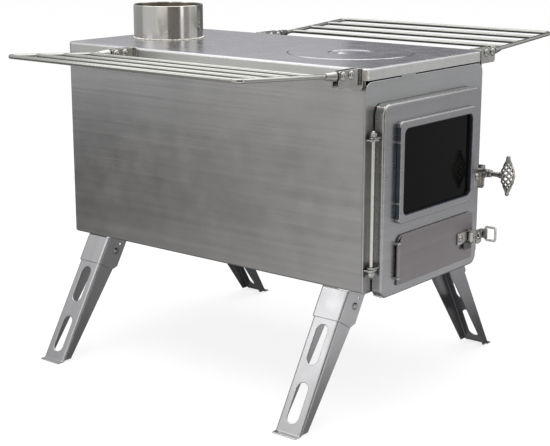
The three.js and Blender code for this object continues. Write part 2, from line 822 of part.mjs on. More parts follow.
function addDoor() {
  const centreZ = doorBottom + doorHeight / 2;
  const pan = tray(doorWidth, doorHeight, doorDepth, doorSheet, doorCornerRadius, doorEdgeRadius);
  const paneHalfX = bezelWidth / 2 - bezelLip - windowMargin;
  const paneHalfZ = bezelHeight / 2 - bezelLip - windowMargin;
  const window = roundedRect(
    bezelCentreX - paneHalfX,
    bezelCentreX + paneHalfX,
    bezelCentreZ - paneHalfZ,
    bezelCentreZ + paneHalfZ,
    windowCornerRadius,
  );
  const inlet = roundedRect(
    flapLeft + inletSideLap,
    flapRight - inletSideLap,
    flapCentreZ - inletHeight / 2,
    flapCentreZ + inletHeight / 2,
    inletRadius,
  );
  const open = [window, inlet].map((shape) => prism(shape, "y", doorFace - past, doorFace + 2 * doorSheet));
  const inSheet = doorFace + doorSheet / 2; // where what is welded on ends
  const lug = flapKnuckleRadius;
  const lugOutline = roundedRect(flapPinX - lug, flapPinX + lug, flapPinY - lug, inSheet, [
    lug - hair,
    lug - hair,
    0,
    0,
  ]);
  lugOutline.holes.push(disc(flapPinX, flapPinY, flapPinRadius + hingeClearance, THREE.Path));
  const lugOffset = flapKnuckleLength / 2 + clearance + flapLugThickness / 2;
  const pinLug = (side) => {
    const middle = flapCentreZ + side * lugOffset;
    return prism(lugOutline, "z", middle - flapLugThickness / 2, middle + flapLugThickness / 2, 4);
  };
  const keeperEnd = flapLeverFront - rivetHeadHeight;
  const panel = joined(
    cutBy(standing(pan, doorCentreX, doorFace, centreZ), ...open),
    doorLug(hingeUpper),
    doorLug(hingeLower),
    pinLug(1),
    pinLug(-1),
    cylinder("y", keeperX, keeperZ, keeperRadius, keeperEnd, inSheet, 3),
  );
  stove.add(piece("door_panel", panel, brushedSteel));
}

function addWindow() {
  const frame = tray(bezelWidth, bezelHeight, bezelDepth, bezelSheet, bezelCornerRadius, bezelEdgeRadius);
  const paneX = bezelWidth / 2 - bezelLip;
  const paneZ = bezelHeight / 2 - bezelLip;
  const face = doorFace - clearance - bezelDepth;
  const pane = roundedRect(
    bezelCentreX - paneX,
    bezelCentreX + paneX,
    bezelCentreZ - paneZ,
    bezelCentreZ + paneZ,
    paneCornerRadius,
  );
  const back = doorFace - clearance;
  const openSide = block(
    bezelLeft - past,
    bezelLeft + bezelEdgeRadius,
    face + bezelSheet + clearance,
    back + past,
    bezelCentreZ - bezelHeight / 2 + bezelCornerRadius,
    bezelCentreZ + bezelHeight / 2 - bezelCornerRadius,
  );
  const pins = [-1, 1].map((side) =>
    cylinder(
      "y",
      bezelLeft + bezelPinRadius,
      bezelCentreZ + (side * bezelPinSpacing) / 2,
      bezelPinRadius,
      face + bezelSheet / 2,
      back,
      3,
    ),
  );
  const opened = cutBy(
    standing(frame, bezelCentreX, face, bezelCentreZ),
    prism(pane, "y", face - 2, face + 2 * bezelSheet),
    openSide,
  );
  stove.add(piece("glass_bezel", joined(opened, ...pins), brushedSteel));

  const sideGap = bezelSheet + glassSideGap;
  const x0 = bezelLeft + Math.max(sideGap, 2 * bezelPinRadius + clearance);
  const x1 = bezelRight - sideGap;
  const halfZ = bezelHeight / 2 - sideGap;
  const glass = roundedRect(x0, x1, bezelCentreZ - halfZ, bezelCentreZ + halfZ, bezelCornerRadius);
  const glassRear = doorFace - 1.5 * clearance;
  stove.add(piece("door_glass", prism(glass, "y", glassRear - glassThickness, glassRear), stoveGlass));
}

// ---------------------------------------------------------------------------
// Door latch and its basket grip
// ---------------------------------------------------------------------------

const barrelFront = doorFace - barrelForward;
const barrelRear = barrelFront + latchBarrelLength;

function addLatch() {
  const plateFront = doorFace - clearance - latchPlateSheet;
  const plateRear = doorFace - clearance;
  const top = latchZ + latchBarrelRadius;
  const plateLeft = doorRight - latchPlateWidth;
  const bore = latchShaftRadius + hingeClearance;
  const sideLeft = doorRight + clearance;
  const bracket = cutBy(
    joined(
      block(plateLeft, latchX, plateFront, plateRear, top - latchPlateHeight, top),
      block(sideLeft, sideLeft + latchPlateSheet, plateFront, barrelRear, top - latchPlateHeight, top),
      cylinder("y", latchX, latchZ, latchBarrelRadius, barrelFront, barrelRear),
    ),
    cylinder("y", latchX, latchZ, bore, barrelFront - past, barrelRear + past),
  );
  const rivetX = plateLeft + rivetHeadRadius;
  const rivetY = (plateFront + plateRear) / 2;
  const head = headInFront(rivet(latchPlateSheet / 2), rivetX, rivetY, latchZ - latchRivetDrop, plateRear);
  stove.add(piece("latch_bracket", joined(bracket, head), brightSteel));

  const flangeRear = barrelFront - clearance;
  const camFront = barrelRear + clearance;
  const camRear = camFront + camThickness;
  const stemFront = gripY + gripWireRadius + gripRadius + clearance;
  const camLeft = latchX - camWidth / 2;
  const camTips = [0, 0, camTipRadius, camTipRadius];
  const cam = roundedRect(camLeft, camLeft + camWidth, latchZ, latchZ + camLength, camTips);
  const shaft = joined(
    cylinder("y", latchX, latchZ, latchShaftRadius, stemFront, camRear - camThickness / 2),
    cylinder("y", latchX, latchZ, camHubRadius, flangeRear - shaftFlangeLength, flangeRear),
    cylinder("y", latchX, latchZ, camHubRadius, camFront, camRear),
    prism(cam, "y", camFront, camRear),
  );
  stove.add(piece("latch_shaft", shaft, brightSteel));
}

// The grip is a cage of wires that twist round an upright axis and meet in a cap at each end.
function gripWire(phase) {
  const points = [];
  const half = gripLength / 2 - gripCapRadius;
  for (let k = 0; k <= gripWireSteps; k++) {
    const t = k / gripWireSteps;
    const swell = Math.sin(Math.PI * t);
    const belly = gripRadius - gripWireRadius - gripEndRadius;
    const radius = gripEndRadius + belly * Math.pow(swell, gripSwell);
    const angle = phase + 2 * Math.PI * gripTurns * t;
    points.push(new THREE.Vector3(radius * Math.cos(angle), radius * Math.sin(angle), half * (2 * t - 1)));
  }
  return rod(points, gripWireRadius, 5);
}

function addGrip() {
  const wires = [];
  for (let k = 0; k < gripWires; k++) {
    wires.push(gripWire((2 * Math.PI * k) / gripWires));
  }
  const capOut = gripLength / 2 - gripCapRadius;
  const cap = (side) => {
    const ball = new THREE.SphereGeometry(gripCapRadius, 10, 6);
    return ball.rotateX(Math.PI / 2).translate(0, 0, side * capOut);
  };
  const bossRadius = latchShaftRadius + gripBossWall;
  const boss = cylinder("y", 0, 0, bossRadius, gripRadius - 3 * gripWireRadius, gripRadius + gripWireRadius);
  const grip = joined(...wires, cap(1), cap(-1), boss);
  stove.add(piece("handle_grip", grip.translate(latchX, gripY, latchZ), brightSteel));
}

// ---------------------------------------------------------------------------
// Air flap
// ---------------------------------------------------------------------------

function addFlap() {
  const bottom = flapCentreZ - flapHeight / 2;
  const top = flapCentreZ + flapHeight / 2;
  const corners = [0, flapFootRadius, flapCornerRadius, flapCornerRadius];
  const outline = roundedRect(flapLeft, flapRight, bottom, top, corners);
  const knuckleHalf = flapKnuckleLength / 2;
  const clear = knuckleHalf + 2 * clearance + flapLugThickness;
  const room = flapKnuckleRadius + clearance;
  const notch = (z0, z1) => block(flapLeft - past, flapLeft + room, flapFace - past, flapRear + past, z0, z1);
  const plate = cutBy(
    prism(outline, "y", flapFace, flapRear),
    notch(flapCentreZ + knuckleHalf, flapCentreZ + clear),
    notch(flapCentreZ - clear, flapCentreZ - knuckleHalf),
  );
  const upright = (radius, half, segments) =>
    cylinder("z", flapPinX, flapPinY, radius, flapCentreZ - half, flapCentreZ + half, segments);
  const flap = cutBy(
    joined(
      plate,
      upright(flapKnuckleRadius, knuckleHalf, 5),
    ),
    upright(flapPinRadius + hingeClearance, flapHeight / 2 + past, 3),
  );
  stove.add(piece("air_flap", flap, brushedSteel));

  const pinHalf = knuckleHalf + clearance + flapLugThickness;
  stove.add(piece("flap_pin", upright(flapPinRadius, pinHalf, 3), brightSteel));
}

function addFlapLatch() {
  const plateHalf = flapLatchPlateHeight / 2;
  const leverHalf = flapLeverHeight / 2 - clearance;
  const earHalf = plateHalf + flapLatchSheet;
  const plateLeft = flapLatchX - flapLatchPlateWidth;
  const plateBack = flapFace - clearance;
  const knuckleLeft = flapLatchX - latchKnuckleRadius;
  const knuckleRight = flapLatchX + latchKnuckleRadius;
  const low = flapLatchZ - plateHalf;
  const high = flapLatchZ + plateHalf;
  const upright = (radius, half, segments) =>
    cylinder("z", flapLatchX, latchPinY, radius, flapLatchZ - half, flapLatchZ + half, segments);
  const ear = (z) =>
    block(knuckleLeft, knuckleRight, latchPinY - latchKnuckleRadius, plateBack, z, z + flapLatchSheet);
  const head = headInFront(
    rivet(flapLatchSheet / 2),
    plateLeft + flapRivetInset,
    plateBack - flapLatchSheet / 2,
    flapLatchZ,
    plateBack,
  );
  const base = joined(
    block(plateLeft, flapLatchX, latchPlateFront, plateBack, low, high),
    block(knuckleLeft, knuckleRight, latchPlateFront, plateBack, low - flapLatchSheet, high + flapLatchSheet),
    ear(high),
    ear(low - flapLatchSheet),
    upright(flapLatchPinRadius, earHalf, 3),
    head,
  );
  stove.add(piece("flap_latch_base", base, brightSteel));

  const leverEnd = flapLatchX + flapLeverReach;
  const leverRear = flapLeverFront + flapLatchSheet;
  const leverLow = flapLatchZ - leverHalf;
  const leverHigh = flapLatchZ + leverHalf;
  const tabFront = flapLeverFront - flapTabDepth;
  const padCorners = [leverPadRadius, leverPadRadius, 0, 0];
  const pad = roundedRect(keeperX - leverPadInset, leverEnd, keeperZ - leverPadDrop, leverHigh, padCorners);
  const keeperHole = keeperRadius + keeperPlay;
  const lever = cutBy(
    joined(
      upright(latchKnuckleRadius, leverHalf, 5),
      block(flapLatchX, leverEnd, flapLeverFront, leverRear, leverLow, leverHigh),
      prism(pad, "y", flapLeverFront, leverRear),
      block(leverEnd - flapLatchSheet, leverEnd, tabFront, leverRear, leverLow, leverHigh),
    ),
    upright(flapLatchPinRadius + hingeClearance, leverHalf + past, 3),
    cylinder("y", keeperX, keeperZ, keeperHole, flapLeverFront - past, leverRear + past, 4),
  );
  stove.add(piece("flap_lever", lever, brightSteel));

  const ringX = leverEnd + clearance + flapRingWire;
  const ringRear = flapLeverFront - flapTabDepth / 2;
  const y0 = ringRear - flapRingWidth;
  const z0 = flapLatchZ - flapRingHeight / 2;
  const z1 = flapLatchZ + flapRingHeight / 2;
  const corners = [
    [y0, z0],
    [ringRear, z0],
    [ringRear, z1],
    [y0, z1],
  ].map(([y, z]) => new THREE.Vector3(ringX, y, z));
  const start = corners[0].clone().lerp(corners[3], 0.5);
  const loop = rounded([start, ...corners, start], flapRingBend, 3).slice(0, -1);
  stove.add(piece("flap_ring", rod(loop, flapRingWire, 8, true), brightSteel));
}

// ---------------------------------------------------------------------------
// Legs
// ---------------------------------------------------------------------------

// A leg is drawn upright, hanging from its own origin: local x goes in from its face and local -z goes
// down it. A point given beside the real floor, (out, up) from the leg's origin, is turned into that
// frame here.
const splay = rad(legSplay);
const legFrame = (x, z) => [
  x * Math.cos(splay) - z * Math.sin(splay),
  x * Math.sin(splay) + z * Math.cos(splay),
];

// A channel of sheet along z, open towards +x.
function channel(face, depth, half, sheet, bend, bottom, top) {
  const inner = half - sheet;
  const innerBend = bend - sheet;
  const outline = roundedRect(face, face + depth, -half, half, [bend, 0, 0, bend]);
  const hollow = roundedRect(face + sheet, face + depth + past, -inner, inner, [innerBend, 0, 0, innerBend]);
  return cutBy(prism(outline, "z", bottom, top), prism(hollow, "z", bottom - past, top + past));
}

function legGeometry() {
  const half = legWidth / 2;
  const fall = floorGap / Math.cos(splay);
  const blank = channel(0, 2 * legTopDepth, half, legSheet, legBend, -fall - legTopDepth, 0);

  const flangeFoot = legFrame(-floorGap * Math.tan(splay), -floorGap + flangeFootGap)[1];
  const side = new THREE.Shape();
  side.moveTo(0, -legWebDrop);
  side.lineTo(0, -fall);
  side.lineTo(legSheet, -fall + legSheet * Math.tan(splay));
  side.lineTo(2 * legSheet, flangeFoot + 2 * legSheet * Math.tan(splay));
  side.lineTo(legFootDepth, flangeFoot + legFootDepth * Math.tan(splay));
  side.lineTo(legTopDepth, -legPivotDown);
  side.absarc(legPivotIn, -legPivotDown, legHeadRadius, 0, Math.PI);
  const body = common(blank, prism(side, "y", -half - past, half + past, 5));

  const heel = -floorGap * Math.tan(splay);
  const lipInner = heel + legSheet / Math.cos(splay);
  const lipProfile = [
    [heel - footLip, -floorGap],
    [lipInner, -floorGap],
    [lipInner + legSheet * Math.tan(splay), -floorGap + legSheet],
    [heel - footLip, -floorGap + legSheet],
  ].map(([x, z]) => legFrame(x, z));
  const lip = prism(polygon(lipProfile), "y", -half + footLipInset, half - footLipInset);

  const slots = slotStarts.map((start) => {
    const across = slotWidth / 2;
    const outline = roundedRect(-across, across, -start - slotLength, -start, across - hair);
    return prism(outline, "x", -past, legSheet + past, 4);
  });
  const hole = legRivetRadius + hingeClearance;
  const pivotHole = cylinder("y", legPivotIn, -legPivotDown, hole, -half - past, half + past, 4);
  return cutBy(joined(body, lip), ...slots, pivotHole);
}

function sleeveGeometry() {
  const face = -clearance - sleeveSheet;
  const outer = legWidth / 2 + clearance + sleeveSheet;
  const bend = legBend + clearance;
  const blank = channel(face, 2 * sleeveDepth, outer, sleeveSheet, bend, -sleeveLength, sleeveDepth);
  const underside = (x) => (x * Math.sin(splay) - clearance) / Math.cos(splay);
  const side = polygon([
    [face - past, -sleeveLength],
    [sleeveDepth - sleeveChamfer, -sleeveLength],
    [sleeveDepth, -sleeveLength + sleeveChamfer],
    [sleeveDepth, underside(sleeveDepth)],
    [face - past, underside(face - past)],
  ]);
  const through = [-outer - past, outer + past];
  return cutBy(
    common(blank, prism(side, "y", ...through)),
    cylinder("y", legPivotIn, -legPivotDown, legRivetRadius + hingeClearance, ...through, 4),
    cylinder("y", detentIn, -detentDown, detentRadius, ...through, 3),
  );
}

function addLegs() {
  const rows = [
    ["front", frontEdge + frontLegInset],
    ["rear", rearEdge - rearLegInset],
  ];
  const grip = legWidth / 2 + clearance + sleeveSheet + clearance;
  const stem = rivet(grip, legRivetRadius, rivetHeadRadius, legRivetHeadHeight);
  for (const [row, y] of rows) {
    for (const [sideName, side] of [["left", -1], ["right", 1]]) {
      const corner = new THREE.Group();
      corner.position.set(side * (halfWidth - legInset), y, bodyBottom);
      corner.scale.x = -side;
      const hanging = new THREE.Group();
      hanging.rotation.y = splay;
      const rivetMesh = piece(`leg_rivet_${row}_${sideName}`, stem.clone(), brightSteel);
      rivetMesh.position.set(legPivotIn, 0, -legPivotDown);
      hanging.add(
        piece(`leg_bracket_${row}_${sideName}`, sleeveGeometry(), paleSteel),
        piece(`leg_${row}_${sideName}`, legGeometry(), paleSteel),
        rivetMesh,
      );
      corner.add(hanging);
      stove.add(corner);
    }
  }
}

// ---------------------------------------------------------------------------
// Side shelves
// ---------------------------------------------------------------------------

// Local x goes out from the pivot, local y runs along the stove, and local z is up before the tilt.
function shelfBracket() {
  const earInner = tongueThickness / 2 + clearance;
  const earOuter = earInner + earSheet;
  const plateFace = -shelfPivotOut + plateSideOverhang + clearance;
  const ear = (side) => {
    const from = side > 0 ? earInner : -earOuter;
    const outline = roundedRect(plateFace + bracketPlate / 2, earReach, -earBottom, earTop, earCorner);
    return prism(outline, "y", from, from + earSheet);
  };
  const half = bracketPlateWidth / 2;
  const corners = [bracketFootRadius, bracketFootRadius, bracketTopRadius, bracketTopRadius];
  const outline = roundedRect(-half, half, -bracketPlateDrop, earTop, corners);
  const plate = prism(outline, "x", plateFace, plateFace + bracketPlate);
  const stop = rivet(earOuter).translate(-stopRivetIn, 0, 0);
  const pivotHole = cylinder("y", 0, 0, rivetRadius + hingeClearance, -earOuter - past, earOuter + past, 4);
  return cutBy(joined(ear(1), ear(-1), plate, stop), pivotHole);
}

function shelfTongue() {
  const half = tongueThickness / 2;
  const underStop = -rivetRadius - clearance;
  const outline = new THREE.Shape();
  outline.moveTo(ferruleStart + tongueTuck, -tongueHalfHeight);
  outline.lineTo(ferruleStart + tongueTuck, tongueHalfHeight);
  outline.lineTo(0, tongueHalfHeight);
  outline.absarc(0, 0, tongueHalfHeight, Math.PI / 2, Math.PI);
  outline.lineTo(-heelStart, underStop);
  outline.lineTo(-heelReach, underStop);
  outline.lineTo(-heelReach, -heelDepth);
  outline.lineTo(-tongueHalfHeight, -heelDepth);
  const end = ferruleStart + ferruleLength;
  const cone = turned(
    [
      [0, ferruleStart],
      [ferruleWide, ferruleStart],
      [ferruleNarrow, end],
      [0, end],
    ],
    14,
  ).rotateY(Math.PI / 2);
  const socket = cylinder("x", 0, 0, rodRadius + clearance, end - ferruleSocket, end + past);
  return cutBy(
    joined(prism(outline, "y", -half, half, 5), cone),
    socket,
    cylinder("y", 0, 0, rivetRadius + hingeClearance, -half - past, half + past, 4),
  );
}

function shelfFrame() {
  const start = ferruleStart + ferruleLength - ferruleSocket + clearance;
  const corners = [
    [start, shelfFrontY],
    [shelfReach, shelfFrontY],
    [shelfReach, shelfRearY],
    [start, shelfRearY],
  ].map(([x, y]) => new THREE.Vector3(x, y, 0));
  return rod(rounded(corners, shelfBend), rodRadius, rodSides);
}

function addShelves() {
  const pivotX = halfWidth + shelfPivotOut;
  const pivotZ = surface - shelfPivotDrop;
  const earOuter = tongueThickness / 2 + clearance + earSheet;
  const ends = [
    ["front", shelfFrontY],
    ["rear", shelfRearY],
  ];
  for (const [sideName, side] of [["left", -1], ["right", 1]]) {
    const mount = new THREE.Group();
    mount.position.set(side * pivotX, 0, pivotZ);
    mount.scale.x = side;
    const shelf = new THREE.Group();
    shelf.rotation.y = -rad(shelfTilt);
    for (const [endName, y] of ends) {
      const bracket = piece(`shelf_bracket_${endName}_${sideName}`, shelfBracket(), paleSteel);
      const pin = piece(`shelf_pivot_${endName}_${sideName}`, rivet(earOuter + clearance), brightSteel);
      const tongue = piece(`shelf_tongue_${endName}_${sideName}`, shelfTongue(), paleSteel);
      bracket.position.y = y;
      pin.position.y = y;
      tongue.position.y = y;
      mount.add(bracket, pin);
      shelf.add(tongue);
    }
    shelf.add(piece(`shelf_frame_${sideName}`, shelfFrame(), brightSteel));
    const fromArm = rodRadius + clearance;
    for (let k = 1; k <= innerRods; k++) {
      const x = shelfReach - shelfRodPitch * k;
      const line = [shelfFrontY + fromArm, shelfRearY - fromArm].map((y) => new THREE.Vector3(x, y, 0));
      shelf.add(piece(`shelf_rod_${k}_${sideName}`, rod(line, rodRadius, rodSides), brightSteel));
    }
    mount.add(shelf);
    stove.add(mount);
  }
}

// ---------------------------------------------------------------------------
// Assembly
// ---------------------------------------------------------------------------

addBody();
addTopPlate();
addLids();
addInside();
addHinge();
addCatch();
addDoor();
addWindow();
addLatch();
addGrip();
addFlap();
addFlapLatch();
addLegs();
addShelves();

const frontMost = gripY - gripRadius;
const rearMost = rearEdge + plateEndOverhang;
stove.position.y = -(frontMost + rearMost) / 2;

const part = new THREE.Group();
part.add(stove);

export default part;
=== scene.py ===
# %% [markdown]
# # A tent wood stove in brushed stainless steel
#
# The real stove is a folded steel box on splayed legs. It has a pressed top with a cook lid and a flue
# collar, a tray-shaped door on a long hinge rod, and a wire shelf on each side. Its solid parts are already
# modelled at their real size. This lesson gives each of them its fine surface and its finish, and keeps
# every piece where the frame says.

# %% Load the frame
import json
from functools import partial
from math import cos, pi, radians, sin

import bmesh
import bpy
from mathutils import Matrix, Vector


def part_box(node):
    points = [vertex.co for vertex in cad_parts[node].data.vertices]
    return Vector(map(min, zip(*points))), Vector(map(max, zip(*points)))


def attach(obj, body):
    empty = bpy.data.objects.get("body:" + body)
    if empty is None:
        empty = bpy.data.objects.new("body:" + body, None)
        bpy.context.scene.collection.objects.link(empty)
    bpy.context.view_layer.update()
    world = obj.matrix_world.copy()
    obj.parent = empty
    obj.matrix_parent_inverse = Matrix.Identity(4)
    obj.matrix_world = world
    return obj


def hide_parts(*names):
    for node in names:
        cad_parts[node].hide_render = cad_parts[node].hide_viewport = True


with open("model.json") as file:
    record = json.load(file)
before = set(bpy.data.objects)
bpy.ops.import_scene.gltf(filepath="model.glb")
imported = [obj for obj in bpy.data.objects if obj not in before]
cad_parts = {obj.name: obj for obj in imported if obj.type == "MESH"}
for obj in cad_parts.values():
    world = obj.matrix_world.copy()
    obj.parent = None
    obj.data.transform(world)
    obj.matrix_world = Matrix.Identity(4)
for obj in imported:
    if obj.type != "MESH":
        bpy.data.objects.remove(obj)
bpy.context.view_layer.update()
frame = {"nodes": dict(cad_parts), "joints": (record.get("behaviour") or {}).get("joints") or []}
MM = 0.001
print("nodes in the frame:", len(frame["nodes"]))


# %% Helper: an object in the scene
def new_object(name, data):
    made = bpy.data.objects.new(name, data)
    bpy.context.scene.collection.objects.link(made)
    return made


# %% [markdown]
# ## The camera
#
# The camera stands where the photographer stood: in front of the stove's left corner, a little above it, with
# a long lens. Its place and angles were worked out from the straight edges of the body.

# %% Camera
eye = bpy.data.cameras.new("eye")
eye.lens = 84.84
eye.sensor_width = 36
camera = new_object("camera", eye)
camera.location = (-1.2394, -0.984, 0.5594)
camera.rotation_euler = (radians(90 - 13.66), radians(-0.05), radians(-51.02))
bpy.context.scene.camera = camera
bpy.context.scene.view_settings.view_transform = "Standard"
print("camera at", tuple(round(v, 3) for v in camera.location))

# %% [markdown]
# ## Nodes by name
#
# Shader trees and geometry trees are both built from nodes, so one helper serves them all. It adds a node,
# sets its options, and gives each named input a value or a link. A node given as an input stands for its
# first output. In a long tree, node and sums are short names for these helpers at work on that tree.


# %% Helper: add a node
def add(tree, kind, inputs=None, **options):
    node = tree.nodes.new(kind)
    for option, value in options.items():
        setattr(node, option, value)
    for socket, value in (inputs or {}).items():
        source = value.outputs[0] if isinstance(value, bpy.types.Node) else value
        if isinstance(source, bpy.types.NodeSocket):
            tree.links.new(source, node.inputs[socket])
        else:
            node.inputs[socket].default_value = source
    return node


def maths(tree, operation, a, b=0.0, c=0.0):
    return add(tree, "ShaderNodeMath", {0: a, 1: b, 2: c}, operation=operation).outputs[0]


def ramp(tree, value, start, end):
    """Zero at start, one at end, and straight between."""
    return add(tree, "ShaderNodeMapRange", {"Value": value, "From Min": start, "From Max": end}).outputs[0]


def noise(tree, place, scale, detail, roughness=0.5, distortion=0.0):
    sizes = {"Vector": place, "Scale": scale, "Detail": detail, "Roughness": roughness}
    return add(tree, "ShaderNodeTexNoise", {**sizes, "Distortion": distortion}).outputs["Fac"]


def group(tree, shared, **inputs):
    return add(tree, "ShaderNodeGroup", inputs, node_tree=shared).outputs


def colour_mix(tree, factor, a, b):
    node = add(tree, "ShaderNodeMix", {0: factor}, data_type="RGBA")
    for socket, colour in ((node.inputs[6], a), (node.inputs[7], b)):
        if isinstance(colour, bpy.types.NodeSocket):
            tree.links.new(colour, socket)
        else:
            socket.default_value = (*colour, 1)
    return node.outputs[2]


KINDS = {float: "Float", int: "Int", tuple: "Vector"}


def new_tree(name, inputs, outputs, kind="ShaderNodeTree"):
    """A node group. An input is named with its value, or with its kind where it has no value."""
    tree = bpy.data.node_groups.new(name, kind)
    for socket, value in inputs.items():
        bare = isinstance(value, str)
        sort = value if bare else KINDS[type(value)]
        made = tree.interface.new_socket(socket, in_out="INPUT", socket_type="NodeSocket" + sort)
        if not bare:
            made.default_value = value
    for socket, sort in outputs.items():
        tree.interface.new_socket(socket, in_out="OUTPUT", socket_type="NodeSocket" + sort)
    given = tree.nodes.new("NodeGroupInput").outputs
    result = tree.nodes.new("NodeGroupOutput").inputs
    return tree, given, result


def new_material(name):
    material = bpy.data.materials.new(name)
    material.use_nodes = True
    return material, material.node_tree


# %% [markdown]
# ## What steel looks like close up
#
# Three effects are shared by every steel here. The brushed grain is a noise stretched along the stroke: it
# tilts the surface a little across the stroke, which smears reflections the way real brushing does. Handling
# marks are broad soft clouds in the tone and the gloss. Bright edges lighten the tone beside a fold or a cut
# edge: partly polish from use, partly a painted highlight. The surface's own direction is compared with one
# that is averaged over a short reach, and the two differ only beside an edge.

# %% Shader group: brushed grain
BUMP_REACH = 0.0004
grain_inputs = {"Vector": "Vector", "Strokes": (900.0, 20.0, 900.0), "Depth": 0.2}
grain_outputs = {"Fine": "Float", "Broad": "Float", "Normal": "Vector"}
grain_tree, given, result = new_tree("Brushed grain", grain_inputs, grain_outputs)
node, sums = partial(add, grain_tree), partial(maths, grain_tree)
factors = {0: given["Vector"], 1: given["Strokes"]}
stretched = node("ShaderNodeVectorMath", factors, operation="MULTIPLY")
fine = noise(grain_tree, stretched, 1.0, 3.0, 0.65)
broad = noise(grain_tree, stretched, 0.16, 2.0)
height = sums("ADD", fine, sums("MULTIPLY", broad, 2.0))
bump = {"Strength": given["Depth"], "Distance": BUMP_REACH, "Height": height}
grain_tree.links.new(fine, result["Fine"])
grain_tree.links.new(broad, result["Broad"])
grain_tree.links.new(node("ShaderNodeBump", bump).outputs["Normal"], result["Normal"])
print("brushed grain:", len(grain_tree.nodes), "nodes")

# %% Shader group: handling marks
marks_inputs = {"Vector": "Vector", "Size": 0.09}
marks_tree, given, result = new_tree("Handling marks", marks_inputs, {"Cloud": "Float", "Smear": "Float"})
per_metre = maths(marks_tree, "DIVIDE", 1.0, given["Size"])
finer = maths(marks_tree, "MULTIPLY", per_metre, 3.7)
marks_tree.links.new(noise(marks_tree, given["Vector"], per_metre, 4.0, 0.55, 0.4), result["Cloud"])
marks_tree.links.new(noise(marks_tree, given["Vector"], finer, 2.0), result["Smear"])

# %% Shader group: bright edges
edge_tree, given, result = new_tree("Bright edges", {"Reach": 0.0007, "Vector": "Vector"}, {"Mask": "Float"})
averaged = add(edge_tree, "ShaderNodeBevel", {"Radius": given["Reach"]}, samples=8)
own = add(edge_tree, "ShaderNodeNewGeometry").outputs["Normal"]
compared = add(edge_tree, "ShaderNodeVectorMath", {0: averaged, 1: own}, operation="DOT_PRODUCT")
rise = ramp(edge_tree, compared.outputs["Value"], 0.99, 0.9)
broken = ramp(edge_tree, noise(edge_tree, given["Vector"], 60.0, 2.0), 0.1, 0.45)
edge_tree.links.new(maths(edge_tree, "MULTIPLY", rise, broken), result["Mask"])

# %% [markdown]
# ## The steels
#
# One recipe makes every steel: a metallic surface whose colour moves a little with the grain, the clouds and
# the edges. What changes from sheet to sheet is its tone, how rough it is, which way it was brushed and how
# deep. The sides and the top are brushed along the stove, the front from side to side, and the legs down
# their length.

# %% Helper: a steel
ALONG = (900.0, 14.0, 900.0)
ACROSS = (14.0, 40.0, 900.0)
ROUND = (260.0, 260.0, 260.0)
UPRIGHT = (420.0, 420.0, 8.0)
DRAWN = (60.0, 60.0, 60.0)
BEADED = (700.0, 700.0, 700.0)
LEG = (500, 500, 12)
SPLAY = radians(30.7)


def steel(name, tone, roughness, strokes=ROUND, depth=0.25, contrast=0.3, edge=0.35, turn=(0, 0, 0)):
    material, tree = new_material(name)
    shader = tree.nodes["Principled BSDF"]
    place = add(tree, "ShaderNodeTexCoord").outputs["Object"]
    along = add(tree, "ShaderNodeMapping", {"Vector": place, "Rotation": turn}).outputs[0]
    grain = group(tree, grain_tree, Vector=along, Strokes=strokes, Depth=depth)
    marks = group(tree, marks_tree, Vector=place)
    edges = group(tree, edge_tree, Vector=place)
    strokes_tone = maths(tree, "MULTIPLY_ADD", grain["Fine"], 0.5, grain["Broad"])
    both = maths(tree, "MULTIPLY_ADD", marks["Cloud"], 1.2, strokes_tone)
    low = [v * (1 - contrast) for v in tone]
    high = [min(v * (1 + contrast), 1.0) for v in tone]
    # Lighter tone beside edges: partly polish from use, partly a painted highlight.
    edge_polish_highlight = [min(v * 1.5 + 0.1, 0.92) for v in tone]
    body = colour_mix(tree, ramp(tree, both, 0.9, 1.8), low, high)
    lit = colour_mix(tree, maths(tree, "MULTIPLY", edges["Mask"], edge), body, edge_polish_highlight)
    tree.links.new(lit, shader.inputs["Base Color"])
    gloss = maths(tree, "MULTIPLY_ADD", marks["Smear"], 0.16, roughness - 0.08)
    gloss = maths(tree, "MULTIPLY_ADD", grain["Fine"], 0.08, gloss)
    tree.links.new(gloss, shader.inputs["Roughness"])
    tree.links.new(grain["Normal"], shader.inputs["Normal"])
    shader.inputs["Metallic"].default_value = 1.0
    return material


# %% Steels by sheet
# Each steel: its name, tone, roughness, strokes, depth of grain, contrast, bright edge and turn.
side_steel = steel("Side steel", (0.47, 0.465, 0.46), 0.3, ALONG, 0.2, 0.14)
top_steel = steel("Top steel", (0.42, 0.42, 0.45), 0.22, ALONG, 0.03, 0.06)
# The skirt gets a lighter copy of the top's steel: painted light on the same pressed sheet.
skirt_painted_light_steel = steel("Skirt steel", (0.62, 0.62, 0.6), 0.36, ALONG, 0.1, 0.1)
front_steel = steel("Front steel", (0.43, 0.435, 0.435), 0.28, ACROSS, 0.08, 0.12)
door_steel = steel("Door steel", (0.355, 0.355, 0.36), 0.24, ACROSS, 0.05, 0.1, 0.0)
flap_steel = steel("Flap steel", (0.265, 0.24, 0.245), 0.34, ACROSS, 0.06, 0.08)
collar_steel = steel("Collar steel", (0.6, 0.585, 0.55), 0.1, UPRIGHT, 0.02, 0.14)
rod_steel = steel("Rod steel", (0.37, 0.37, 0.35), 0.12, DRAWN, 0.03, 0.06)
hinge_rod_steel = steel("Hinge rod steel", (0.66, 0.64, 0.59), 0.3, DRAWN, 0.03, 0.1)
loop_steel = steel("Loop steel", (0.74, 0.74, 0.73), 0.85, DRAWN, 0.05, 0.08)
fitting_steel = steel("Fitting steel", (0.4, 0.39, 0.37), 0.18, ROUND, 0.1, 0.3, 0.8)
grip_steel = steel("Grip steel", (0.38, 0.365, 0.345), 0.14, ROUND, 0.1, 0.3, 0.6)
weld_steel = steel("Weld steel", (0.6, 0.57, 0.52), 0.28, BEADED, 0.3, 0.35)
inner_steel = steel("Inner steel", (0.16, 0.155, 0.15), 0.55, ALONG, 0.3, 0.25, 0.1)
